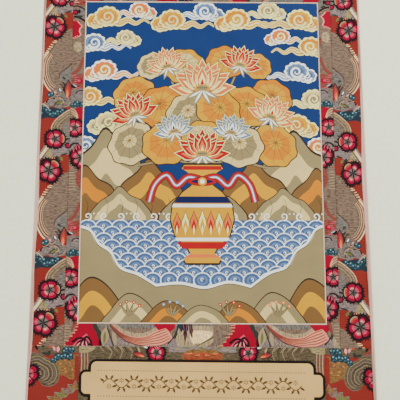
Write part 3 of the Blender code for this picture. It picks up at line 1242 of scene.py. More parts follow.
        made.patch([
            (240, 94), (252, 88), (262, 81), (272, 72), (279, 62), (282, 48), (266, 24), (258, 8), (240, 8), (240, 70),
        ], BEIGE, 1.0)
        edge = smooth([(240, 93), (252, 88), (262, 81), (272, 72), (279, 62), (282, 50)], False)
        self.lines(made, edge, (246, 52), (
            (0.99, 2.4, BISQUE), (0.93, 1.6, FAWN), (0.87, 2.4, SAGE), (0.80, 1.4, FAWN),
            (0.72, 1.6, SAGE), (0.62, 1.2, FAWN), (0.54, 2.4, BEIGE), (0.46, 1.2, FAWN),
        ), 0.3, 0.6)
        for anchors, dye in (
            ([(248, 62), (259, 60), (260, 42), (256, 28), (262, 10), (248, 6)], ASH),
            ([(302, 4), (296, 14), (288, 24), (262, 22), (240, 22), (240, 6), (262, 3), (272, -10), (292, -6)], HAZE),
            ([(291, 10), (284, 15), (278, 6), (279, -3), (288, -2)], SAGE),
        ):
            made.patch(anchors, dye, 1.0)
        made.line([(303, -5), (296, 4), (287, 18)], 5.4, CREAM, 0.2)
        made.line([(297, -5), (291, 4), (283, 15)], 1.2, UMBER, 0.3)
        made.add([(263, 3), (249, 3.5), (247, -29), (260, -30), (264, -14)], BRICK)
        made.leaves((
            (264, 3, 80, 17, 3.4, MOSS), (270, 2, 176, 13, 9, MOSS), (264, 0, 150, 10, 5, OLIVE),
            (262, 38, 196, 12, 5, MOSS), (254, 34, 96, 8, 3, NIGHT), (248, 14, 100, 12, 4, NIGHT),
            (277, 1, 176, 15, 10, WINE), (277, 0, 176, 13, 8, PEACH), (276, -2, 176, 9, 4, CORAL),
        ))
        made.add(toothed(oval(11, 11, 250, 21, 16), 0.9), NIGHT)
        made.add(oval(7.2, 7.0, 250, 21, 12), PETAL)
        made.put(Blossom(20.0, 5, 33, 2), 273.5, 33.5)
        made.put(Blossom(25.0, 6, 10, 2, 1, 0.26), 283, -26)
        return made

    def band_unit(self) -> Drawing:
        """One repeat of the narrow band's strip at the picture's side."""
        made = Drawing()
        made.line([(225, 192), (229, 180), (235, 167), (247, 158)], 6.0, RUST)
        made.patch([(222, 156), (236, 158), (246, 150), (244, 138), (236, 130), (222, 128)], RUST, 0.8)
        self.comb(made, smooth([(246, 156), (240, 148), (244, 140), (240, 132)], False, 2), 9.0, ROSE)
        made.add(oval(11, 9, 231, 145, 12), CRIMSON)
        made.add(oval(6, 5, 233, 146, 10), ROSE)
        made.patch([(222, 128), (240, 128), (250, 112), (246, 94), (222, 92)], ASH, 0.8)
        made.leaves((
            (238, 132, -60, 15, 7, NIGHT), (236, 134, -58, 10, 2.6, ICE), (244, 130, -70, 8, 2.4, CRIMSON),
        ))
        made.put(Pebble(17, 16), 229, 117, 20)
        made.put(Pebble(9, 10, MAUVE), 244, 112)
        self.florets(made, ((228, 99, 6.2, 40), (243, 98, 5.0, 80), (236, 101, 6.8, 10)))
        made.patch([(222, 92), (240, 91), (234, 82), (231, 66), (222, 62)], CRIMSON)
        made.patch([(250, 92), (240, 90), (234, 80), (234, 70), (250, 72)], BEIGE, 1.0)
        for drop in (0, 4.5, 9):
            made.line([(247 - 0.2 * drop, 92 - drop), (238, 87 - drop), (233, 75 - 0.4 * drop)], 1.6, BISQUE)
        made.patch([(222, 40), (250, 40), (250, 16), (238, 12), (222, 14)], HAZE, 1.0)
        made.put(Blossom(19.0, 5, 58, -1), 238, 55)
        made.put(Blossom(22.5, 6, 24, -1, 5, 0.28), 226, -2)
        made.line([(247, 17), (242, 24), (232, 25), (228, 18)], 4.4, MOSS, 0.4)
        made.line([(246, 20), (238, 25), (231, 25)], 1.6, NIGHT, 0.4)
        for x, y, turn in ((240, 8, 12), (234, 12, 0), (228, 14, -14)):
            made.leaves(((x, y, turn, 12, 4.4, WINE, 1), (x, y, turn, 10, 2.4, ROSE, 1)))
        made.add(oval(5, 4, 246, -21, 10), FLAME)
        made.patch([(222, -24), (232, -28), (234, -46), (228, -58), (222, -62)], RUST, 0.9)
        for i in range(7):
            made.add(stroke([(246, -30 - 5.2 * i), (237 - 0.4 * i, -30 - 5.2 * i)], 1.6, 0.3), STRAW)
        return made

    def band_top(self, rise: float) -> Drawing:
        """What stands at the upper end of the narrow band instead of its repeat.

        Args:
            rise: How far up it is shifted.

        Returns:
            The drawing.
        """
        made = Drawing()
        made.add(box(222, 210, 250, 345), BEIGE, 1.0)
        made.patch([(222, 300), (244, 298), (250, 320), (246, 345), (222, 345)], RUST, 1.0)
        self.comb(made, smooth([(246, 336), (242, 318), (246, 302)], False, 3), 10.0, BLUSH)
        made.patch([(222, 292), (240, 288), (244, 272), (222, 266)], ASH, 0.9)
        made.line([(250, 293), (238, 294), (224, 287)], 2.4, NIGHT)
        made.line([(246, 273), (236, 271), (222, 262)], 3.6, NIGHT)
        made.leaves((
            (247, 286, 150, 10, 5, MOSS), (240, 274, 100, 12, 5, MOSS), (236, 288, 180, 10, 5, NIGHT),
        ))
        made.add(toothed(oval(11, 10, 243, 282, 16), 0.9), NIGHT)
        made.add(oval(7, 6.4, 243.5, 282, 12), PETAL)
        patch = [
            (250, 265), (240, 264), (236, 259), (231, 254), (235, 249), (236, 243), (233, 237), (238, 232), (250, 229),
        ]
        made.add([(x - 2.6, y) for x, y in patch], BLUSH)
        made.add(patch, CRIMSON)
        self.comb(made, [(247, 231), (243, 233), (239, 235)], 4.0, BLUSH, 3.0)
        made.patch([(244, 220), (232, 222), (230, 206), (242, 204)], STRAW, 1.0)
        return made.carried(lambda x, y: (x, y + rise))

    def end_unit(self) -> Drawing:
        """One repeat of the band below the picture, where the cloth is turned on its side."""
        made = Drawing()
        made.add(box(-262, -312, 22, -300), ASH, 1.0)
        made.add(box(-178, -350, -40, -330), HAZE, 1.0)
        made.add([(-262, -352), (-226, -312), (-222, -300), (-262, -300)], BEIGE, 1.0)
        made.add([
            (-229, -300), (-198, -300), (-193, -311), (-186, -321), (-182, -332), (-184, -346), (-198, -346),
            (-199, -334), (-206, -323), (-214, -328), (-224, -336), (-234, -346), (-252, -347), (-240, -334),
            (-227, -318),
        ], CRIMSON)
        self.comb(made, smooth([(-222, -306), (-224, -316), (-232, -327), (-244, -342)], False, 2), 11.0, PEACH, 1.0)
        made.add([(-240, -352), (-224, -336), (-207, -322), (-198, -336), (-196, -352)], ROSE)
        made.line([(-232, -338), (-222, -331), (-210, -332), (-204, -340)], 4.2, NIGHT, 0.3)
        made.line([(-216, -342), (-207, -328), (-199, -336), (-198, -346)], 4.2, NIGHT, 0.3)
        made.put(Blossom(17.0, 5, 90, -1), -212, -352)
        for x, turn in ((-226, -34), (-216, -8), (-206, 22)):
            made.leaves(((x, -346, turn, 18, 6, WINE, 2), (x + 1, -346, turn, 12, 2.6, BLUSH, 2)))
        made.leaves((
            (-196, -300, 206, 26, 8, MOSS), (-187, -313, 196, 22, 9, MOSS), (-181, -326, 180, 22, 7, NIGHT),
            (-172, -310, 176, 36, 15, STRAW), (-174, -318, 180, 24, 5, OLIVE), (-160, -318, 196, 28, 8, STRAW),
        ))
        made.line([(-170, -312), (-165, -326), (-158, -346)], 2.4, MOSS)
        self.comb(made, [(-146 + 6 * i, -336 - 1.5 * i) for i in range(5)], 10.0, STRAW, 6.0)
        self.plume(made)
        made.add([(-92, -300), (-48, -300), (-50, -312), (-58, -319), (-66, -312), (-79, -316), (-86, -308)], CRIMSON)
        made.patch([(-44, -312), (-20, -308), (10, -308), (30, -312), (24, -330), (2, -346), (-42, -346)], STRAW, 1.0)
        made.patch([(-20, -318), (4, -316), (18, -320), (8, -334), (-18, -338)], CREAM, 1.0)
        made.line([(-42, -301), (-45, -314), (-50, -326), (-62, -340)], 3.6, SLATE, 0.3)
        made.leaves(((-41, -300, 196, 20, 8, SLATE), (-46, -316, 170, 16, 5, MOSS)))
        for x, turn, size in ((-31, 180, 38), (-27, 172, 24), (-35, 190, 22), (-22, 186, 30)):
            made.add(toothed(Place(x, -300, turn).move(blade(size, 6)), 0.8), WINE)
            made.leaves([(x, -302, turn, 0.8 * size, 1.8, MAUVE, 0)])
        sweep = [(48, -300), (36, -316), (14, -330), (-12, -344)]
        made.line(sweep, 6.5, MOSS, 0.8)
        made.line(sweep, 2.0, OLIVE, 0.7)
        return made

    def plume(self, made: Drawing) -> None:
        """Draws the end band's plume: peach lanes that run side by side under a straw leaf."""
        upper = smooth([
            (-166, -304), (-146, -320), (-130, -327), (-115, -329), (-99, -327), (-88, -321), (-78, -316), (-66, -312),
        ], False)
        lower = smooth([
            (-166, -306), (-150, -323), (-137, -333), (-121, -339), (-105, -342), (-89, -342), (-73, -340), (-55, -331),
        ], False)
        made.add([(x, y + 8) for x, y in upper] + upper[::-1], STRAW, 1.0)
        made.add(stroke([(x + 0.5, y - 1.6) for x, y in lower], 2.2, 0.2), NIGHT)
        lanes = 5
        for lane in range(lanes + 1):
            share = 1 - lane / lanes
            path = [(a[0] + share * (b[0] - a[0]), a[1] + share * (b[1] - a[1])) for a, b in zip(upper, lower)][::-1]
            made.add(oval(5.6, 5.2, *path[0], 12), PEACH)
            made.add(stroke(path, 5.2, 0.86), PEACH)
            made.add(stroke([(x - 0.4, y + 1.0) for x, y in path], 1.3, 0.8), BLUSH)
            shade = [(x, y - 2.2 * (1 - i / len(path))) for i, (x, y) in enumerate(path)]
            made.add(stroke(shade, 1.5, 0.2), RUST)

    def sides(self, unit: Drawing, low: float, high: float, rise: float) -> Drawing:
        """Repeats a side strip's unit down the cloth.

        Args:
            unit: One repeat.
            low: The strip's bottom.
            high: The strip's top.
            rise: How far up the whole strip is shifted.

        Returns:
            The strip's drawing.
        """
        made = Drawing()
        above, below = 290, 60  # how far the unit reaches from its own zero
        first, last = math.floor((low - above) / self.repeat), math.ceil((high + below) / self.repeat)
        for shift in (step * self.repeat + rise for step in range(first, last + 1)):
            if shift + above > low and shift - below < high:
                made.put(unit, 0, shift)
        return made

    def ends(self) -> Drawing:
        """The end band's unit, set twice across the scroll."""
        made = Drawing()
        for step in (0, 1):
            made.put(self.end_unit(), step * self.end_repeat, 0)
        return made

    def foot_side(self) -> Drawing:
        """The corner piece below the band."""
        made = Drawing()
        made.add([(306, -340), (214, -340), (214, -356), (250, -358), (306, -364)], TWEED, 1.0)
        made.add([(306, -340), (291, -340), (296, -347), (306, -350)], BRICK)
        made.patch([(306, -350), (292, -349), (288, -358), (296, -364), (306, -362)], RUST, 0.6)
        made.patch(
            [(262, -364), (238, -362), (216, -362), (216, -398), (232, -404), (246, -397), (260, -392)], OCHRE, 1.0,
        )
        flecks = (RUST, FAWN, CORAL, OLIVE)
        made.leaves((
            230 + (7.3 * i) % 24, -368 - (11.7 * i) % 32, 37 * i, 6, 1.8, flecks[i % 4], 0,
        ) for i in range(26))
        made.add([(218, -362), (226.5, -362), (227, -440), (218, -444)], BRICK)
        paisley = smooth([
            (306, -361), (290, -358), (277, -365), (262, -374), (254.5, -386), (254, -402),
            (259, -411), (268, -416), (279, -413), (286, -404), (306, -404),
        ])
        made.add(shrunk(paisley, 1.02, 285, -388), HAZE)
        made.add(paisley, TWEED, 1.0)
        ring = smooth([
            (302, -364), (288, -361), (276, -368), (263, -376), (257, -388), (257, -401), (262, -409), (269, -413),
        ], False, 4)
        hoops = (SAGE, FAWN, HAZE, UMBER)
        self.lines(made, ring, (292, -394), ((0.96 - 0.085 * i, 1.0, hoops[i % 4]) for i in range(9)), 0.0)
        made.leaves((
            (286, -345, 70, 15, 7, NIGHT), (290, -352, -30, 12, 4, NIGHT), (284, -356, 110, 16, 5, MOSS),
            (271, -345, 70, 14, 11, WINE), (271, -345, 70, 12, 9, PEACH), (273, -347, 70, 9, 4, FLAME),
            (270, -352, 200, 12, 6, MOSS), (256, -344, 190, 13, 9, WINE), (256, -345, 190, 11, 6.6, BLUSH),
            (264, -344, 170, 12, 8, MAUVE), (264, -345, 170, 9, 4, BLUSH), (246, -344, 170, 10, 7, ASH),
        ))
        self.florets(made, (
            (263, -370, 5.8, 66), (233, -351, 6.2, 50), (243, -352, 6.6, 10),
            (236, -363, 7.2, 30), (257, -364, 6.8, 18), (247, -363, 7.0, 42),
        ))
        made.put(Blossom(20.5, 6, 14, -1, -1, 0.16), 303, -395)
        for i in range(4):
            for turn in (14, 70, -50):
                made.pile(Place(226 + 11 * i, -420 - 7 * i, turn), (
                    (blade(15, 7, 2), HAZE), (blade(13.6, 6.2, 2), (OCHRE, BEIGE, OLIVE)[i % 3], 1.0),
                ))
        made.put(Blossom(18.0, 5, 40), 244, -470)
        made.put(Spray(5, 38.0), 296, -508, 20)
        self.florets(made, ((272, -480, 6.5, 272), (282, -486, 6.0, 282), (276, -493, 5.4, 276)))
        made.put(Bud(22.0), 262, -512, 12)
        made.put(Blossom(15.0, 5, 10), 232, -520)
        return made

    def foot_middle(self) -> Drawing:
        """The right half of the middle piece below the band."""
        made = Drawing()
        made.add(box(-1, -354, 60, -342), HAZE, 1.0)
        made.add([(-1, -350), (16, -348), (30, -352), (36, -362), (34, -376), (-1, -376)], OCHRE, 1.0)
        made.add([(-1, -357), (10, -356), (20, -358), (28, -356), (34, -361), (30, -376), (-1, -376)], EMBER, 1.0)
        for i in range(7):
            x, y = 4.6 * i, -355 - (3.1 * i) % 4
            made.add(stroke([(x, y), (x + 6, y - 1), (x + 10, y)], 2.4, 0.4), (FLAME, CORAL, OCHRE)[i % 3])
        made.leaves((
            (4, -349, 70, 12, 4, OLIVE), (24, -348, -70, 12, 4, OLIVE), (50, -350, 80, 12, 4, SAGE),
        ))
        pair = (UMBER, STRAW)
        for i in range(6):
            made.line([(122 + 10 * i, -342), (116 + 9 * i, -354), (120 + 10 * i, -372)], 1.2, pair[i % 2], 0.4)
        for i in range(9):
            made.add(stroke([(136 + 6 * i, -343), (127 + 6 * i, -352 - i % 3)], 1.3, 0.5), pair[1 - i % 2])
        made.patch([(226, -340), (192, -340), (194, -351), (206, -356), (226, -354)], SAGE, 0.9)
        made.add([(226, -354), (216, -356), (210, -362), (226, -366)], MAUVE)
        for i, dye in enumerate((BRICK, PEACH, FAWN, STRAW, RUST, STRAW, FAWN)):
            made.add(stroke([(218 - 2.7 * i, -356), (217 - 2.7 * i, -374), (218 - 2.7 * i, -400)], 1.5), dye)
        made.put(Bud(22.0), 103, -361, -78)
        made.leaves((
            (92, -344, -62, 18, 10, NIGHT, 3), (95, -347, -68, 12, 3.6, PEARL, 2), (112, -355, -10, 11, 4, STRAW, 2),
        ))
        made.put(Blossom(18.0, 5, 100, -1), 82, -355)
        made.add([(-1, -440), (60, -452), (120, -446), (180, -456), (222, -450), (222, -535), (-1, -535)], BRICK)
        made.put(Spray(6, 44.0), 30, -520, -18)
        made.put(Spray(5, 36.0), 176, -520, 22)
        self.florets(made, ((124, -474, 7.0, 124), (134, -480, 6.4, 134), (126, -486, 5.6, 126), (3, -480, 7.0, 3)))
        made.put(AshPetals(), 126, -496, 180)
        made.put(Blossom(19.0, 5, 66), 86, -492)
        made.put(Blossom(17.0, 5, 20), 204, -484)
        made.put(Bud(20.0), 152, -522, -12)
        return made

    def head(self) -> Drawing:
        """The piece above the band: side strips next to each other, every second one turned over."""
        half = Drawing()
        width, turned, low = 74.0, 528.0, 340.0  # a strip's width, where a turned one stands, the lowest line seen
        for i in range(5):
            x = (turned if i % 2 else 0.0) - i * width
            for unit in (self.band_unit(), self.side_unit()):
                half.put(unit, x, self.repeat, flip=bool(i % 2))
        both = half.mirrored().shapes + half.shapes
        return Drawing([s for s in both if max(y for _, y in s.points) > low])


@dataclass
class Mount:
    """The brocade round the picture: four bands, four borders and two selvages."""

    brocade: Brocade = field(default_factory=Brocade)
    pucker: float = 0.22

    def cloth(self, word: str, node: str, outline: Points, ground: Dye, drawing: Drawing, **more: object) -> Cloth:
        """A piece of the brocade with the mount's own weave and thickness."""
        return Cloth(
            name=f"{word}_cloth", node=node, slot="brocade", outline=outline, ground=ground,
            finish=BROCADE_WEAVE, thick=CUT.brocade_thick, drawing=drawing, pucker=self.pucker,
            pitch=5.0, **more,
        )

    def bands(self) -> list[Cloth]:
        """The narrow band: two sides and two ends, mitred at the corners."""
        (in_x, in_y), (out_x, out_y) = CUT.band_in, CUT.band_out
        gap = CUT.seam
        made = []
        edge_x, edge_y = out_x - gap, out_y - 1.9 * gap
        right = [(in_x, -in_y), (edge_x, -edge_y), (edge_x, edge_y), (in_x, in_y)]
        for side in Side:
            flip = side is Side.LEFT
            outline = [(-x, y) for x, y in reversed(right)] if flip else right
            drawing = self.brocade.sides(self.brocade.band_unit(), -out_y, out_y, 0.0 if flip else 2.5)
            drawing.shapes += self.brocade.band_top(0.0 if flip else 22.0).shapes
            drawing = drawing.mirrored() if flip else drawing
            name = f"band_side_{side.word}"
            made.append(self.cloth(name, f"band_{side.word}", outline, BEIGE, drawing, ground_rib=1.0))
        edge_x, edge_y = out_x - 0.8 * gap, out_y - gap
        bottom = [(-edge_x, -edge_y), (edge_x, -edge_y), (in_x - gap, -in_y), (-in_x + gap, -in_y)]
        top = [(x, -y) for x, y in reversed(bottom)]
        lower = self.brocade.ends()
        upper = lower.carried(lambda x, y: (x, -y))
        for word, outline, drawing in (("bottom", bottom, lower), ("top", top, upper)):
            made.append(self.cloth(
                f"band_end_{word}", f"band_{word}", outline, BEIGE, drawing,
                ground_rib=1.0, grain=Grain.ALONG, crown=1.2,
            ))
        return made

    def borders(self) -> list[Cloth]:
        """The wide borders: two sides, one piece above and three below."""
        out_x, out_y = CUT.band_out
        gap = CUT.seam
        outer = CUT.border_x - gap
        foot_top, foot_hem = -out_y - gap, CUT.foot_y + CUT.hem
        made = []
        for side in Side:
            flip = side is Side.LEFT

            def across(inner: float) -> Point:
                """Left and right edge of a piece on this side, from its inner edge."""
                return (-outer, -inner) if flip else (inner, outer)

            left, right = across(out_x)
            strip = self.brocade.sides(self.brocade.side_unit(), -out_y, out_y, 0.0 if flip else -4.0)
            strip = strip.mirrored() if flip else strip
            made.append(self.cloth(
                f"border_side_{side.word}", f"border_{side.word}", box(left, -out_y, right, out_y), BRICK, strip,
            ))
            left, right = across(CUT.foot_seam + gap)
            corner = self.brocade.foot_side()
            corner = corner.mirrored() if flip else corner
            made.append(self.cloth(
                f"foot_side_{side.word}", f"foot_{side.word}", box(left, CUT.foot_y, right, foot_top),
                BRICK, corner, hem=foot_hem,
            ))
        half = self.brocade.foot_middle()
        made.append(self.cloth(
            "foot_centre", "foot_middle", box(-CUT.foot_seam, CUT.foot_y, CUT.foot_seam, foot_top),
            TWEED, Drawing(half.mirrored().shapes + half.shapes), ground_rib=1.0, hem=foot_hem,
        ))
        made.append(self.cloth(
            "border_head", "border_top", box(-outer, out_y + gap, outer, CUT.top_y),
            BRICK, self.brocade.head(), hem=CUT.top_y - CUT.hem,
        ))
        return made

    def selvage(self, side: Side) -> Cloth:
        """The pale woven edge down one side."""
        left, right = sorted(side.value * x for x in (CUT.border_x, CUT.border_x + CUT.selvage))
        return Cloth(
            name=f"selvage_strip_{side.word}", node=f"selvage_{side.word}", slot="selvage_cotton",
            outline=box(left, CUT.foot_y, right, CUT.top_y), ground=HUSK, finish=SELVAGE_WEAVE,
            thick=CUT.selvage_thick, pitch=5.0, pucker=0.12,
        )

    def build(self) -> None:
        """Builds every piece of the mount."""
        strips = {side: self.selvage(side).build() for side in Side}
        for cloth in self.bands() + self.borders():
            piece = cloth.build()
            beside = [strips[s] for s in Side if cloth.name == f"border_side_{s.word}_cloth"]
            cloth.declare(piece, with_pieces=beside)


@dataclass
class Cord:
    """A two-ply cord sewn down along a line."""

    name: str
    node: str
    slot: str
    path: Points
    dye: Dye
    width: float
    height: float
    base: float
    lay_pitch: float = 4.2
    closed: bool = False
    ring: int = 10
    step: float = 0.5

    def centre_line(self) -> np.ndarray:
        """Evenly spaced points along the path."""
        path = np.array(self.path + (self.path[:1] if self.closed else []))
        sizes = np.hypot(*np.diff(path, axis=0).T)
        run = np.concatenate([[0.0], np.cumsum(sizes)])
        where = np.linspace(0, run[-1], round(run[-1] / self.step) + 1)
        if self.closed:
            where = where[:-1]
        return np.column_stack([np.interp(where, run, path[:, k]) for k in (0, 1)])

    def skin(self, line: np.ndarray) -> np.ndarray:
        """Points round the line in two lobes that wind about it, ring by ring."""
        count = len(line)
        if self.closed:
            way = np.roll(line, -1, axis=0) - np.roll(line, 1, axis=0)
        else:
            way = np.gradient(line, axis=0)
        way /= np.hypot(*way.T)[:, None]
        side = np.column_stack([way[:, 1], -way[:, 0]])
        turns = round(count * self.step / self.lay_pitch)
        phase = FULL_TURN * turns * np.arange(count) / count / 2
        rings = []
        for angle in FULL_TURN * np.arange(self.ring) / self.ring:
            lobe = 0.84 + 0.16 * np.cos(2 * (angle - phase))
            across = self.width / 2 * lobe * math.cos(angle)
            up = self.height / 2 * (1 + lobe * math.sin(angle))
            rings.append(LIE.lay(line + side * across[:, None], self.base + up))
        return np.stack(rings, axis=1).reshape(-1, 3)

    def build(self) -> bpy.types.Object:
        """Makes the cord's closed mesh.

        Returns:
            The piece, riding on the root body in place of its CAD node.
        """
        line = self.centre_line()
        count, ring = len(line), self.ring
        faces = []
        for i in range(count if self.closed else count - 1):
            j = (i + 1) % count
            for k in range(ring):
                n = (k + 1) % ring
                faces.append((i * ring + k, i * ring + n, j * ring + n, j * ring + k))
        if not self.closed:
            faces += [tuple(reversed(range(ring))), tuple((count - 1) * ring + k for k in range(ring))]
        mesh = bpy.data.meshes.new(self.name)
        mesh.from_pydata(self.skin(line).tolist(), [], faces)
        fix = bmesh.new()
        fix.from_mesh(mesh)
        bmesh.ops.recalc_face_normals(fix, faces=fix.faces)
        fix.to_mesh(mesh)
        fix.free()
        dye = mesh.color_attributes.new("dye", "FLOAT_COLOR", "CORNER")
        dye.data.foreach_set("color", np.tile(self.dye.linear, len(mesh.loops)))
        mesh.attributes.new("rib", "FLOAT", "FACE")
        flat = np.zeros((count, ring, 3))
        flat[:, :, 0] = np.arange(count)[:, None] * self.step
        flat[:, :, 1] = np.arange(ring)[None, :] * 0.5 + flat[:, :, 0] * 0.6
        cut = mesh.attributes.new("cut", "FLOAT_VECTOR", "POINT")
        cut.data.foreach_set("vector", flat.ravel())
        mesh.shade_smooth()
        mesh.materials.append(CORD_PLY.material(Grain.ACROSS))
        return dressed(mesh, self.node, self.slot)


@dataclass
class Edging:
    """The pale cords along the four sides of the picture."""

    dye: Dye = MILK

    def build(self) -> list[bpy.types.Object]:
        """Builds the four cords."""
        radius = CUT.edging_radius
        x, y = CUT.picture_x + CUT.seam + radius, CUT.picture_y + CUT.seam + radius
        reach = x + radius
        paths = {
            "left": [(-x, -CUT.picture_y), (-x, CUT.picture_y)],
            "right": [(x, -CUT.picture_y), (x, CUT.picture_y)],
            "bottom": [(-reach, -y), (reach, -y)],
            "top": [(-reach, y), (reach, y)],
        }
        return [
            Cord(
                name=f"edging_cord_{word}", node=f"edging_{word}", slot="cord_silk", path=path,
                dye=self.dye, width=2 * radius, height=2 * radius, base=CUT.edging_lift,
            ).build()
            for word, path in paths.items()
        ]


@dataclass
class Tablet:
    """The plain silk tablet on the lower border, with its black piping and a vine worked on it."""

    half_width: float = 202.0
    half_height: float = 42.5
    corner: float = 14.5
    lobe_reach: float = 16.5
    lobe_half_height: float = 23.5
    lobe_corner: float = 12.5
    piping: float = 4.4
    arc_steps: int = 8

    def arc(self, x: float, y: float, radius: float) -> Points:
        """A quarter circle, from its right end to its top."""
        turns = [math.pi / 2 * i / self.arc_steps for i in range(self.arc_steps + 1)]
        return [(x + radius * math.cos(a), y + radius * math.sin(a)) for a in turns]

    def outline(self, inset: float) -> Points:
        """The tablet's outline, drawn in from the outside of its piping.

        Args:
            inset: How far in, in millimetres.

        Returns:
            The outline, counter-clockwise, in the drawing of the scroll.
        """
        body_x, body_top = self.half_width - inset, self.half_height - inset
        lobe_x, lobe_top = body_x + self.lobe_reach, self.lobe_half_height - inset
        corner, lobe_corner = self.corner - inset, self.lobe_corner - inset
        quarter = self.arc(lobe_x - lobe_corner, lobe_top - lobe_corner, lobe_corner)
        quarter += [(body_x, lobe_top)]
        quarter += self.arc(body_x - corner, body_top - corner, corner)
        upper = quarter + [(-x, y) for x, y in reversed(quarter)]
        whole = upper + [(x, -y) for x, y in reversed(upper)]
        return [(x, y + CUT.tablet_y) for x, y in whole]

    def vine(self) -> Drawing:
        """A running vine of leaves and dotted blossoms between two lines of dots, as plain ornament."""
        made = Drawing()
        y0 = CUT.tablet_y
        span, half_wave, height = 176.0, 22.0, 7.5

        def swing(x: float) -> float:
            """Height of the vine's stem."""
            return y0 + height * math.sin(math.pi * x / half_wave)

        stem = [(x, swing(x)) for x in np.linspace(-span, span, 200)]
        for x in np.arange(-span + half_wave / 2, span, half_wave):
            up = 1 if swing(x) > y0 else -1
            for k in range(6):
                dot = Place(x, y0 - up * 5.0, 60 * k)
                made.add(dot.move(oval(2.0, 2.4, 0, 3.2, 8)), UMBER)
            made.add(oval(2.0, 2.0, x, y0 - up * 5.0, 8), OCHRE)
            for along, turn, size in ((-8.0, 64, 10.0), (-3.0, 26, 9.0), (3.0, -26, 9.0), (8.0, -64, 10.0)):
                lean = turn if up > 0 else 180 - turn
                spot = Place(x + along, swing(x + along), lean)
                made.add(spot.move(blade(size, 4.2, 0.8)), UMBER)
                made.add(spot.move(blade(0.8 * size, 1.2, 0.6)), OCHRE)
        made.add(stroke(stem, 1.5), UMBER)
        for x in np.arange(-184.0, 185.0, 5.0):
            for y in (22.0, -22.0):
                made.add(oval(2.0, 2.0, x, y0 + y, 6), UMBER)
        return made

    def build(self, under: str) -> None:
        """Builds the silk and its piping.

        Args:
            under: The name of the cloth that the tablet is sewn on.
        """
        base = CUT.brocade_thick + CUT.seam
        silk = Cloth(
            name="tablet_face", node="tablet", slot="tablet_silk", outline=self.outline(self.piping + CUT.seam),
            ground=SILK, finish=TABLET_WEAVE, thick=CUT.tablet_thick, base=base, drawing=self.vine(),
            pitch=5.0, pucker=0.10,
        )
        piece = silk.build()
        cord = Cord(
            name="tablet_piping_cord", node="tablet_piping", slot="piping_black", path=self.outline(self.piping / 2),
            dye=PITCH, width=self.piping, height=1.7, base=base, lay_pitch=5.0, closed=True,
        ).build()
        silk.declare(piece, rests_on=under, with_pieces=[cord])


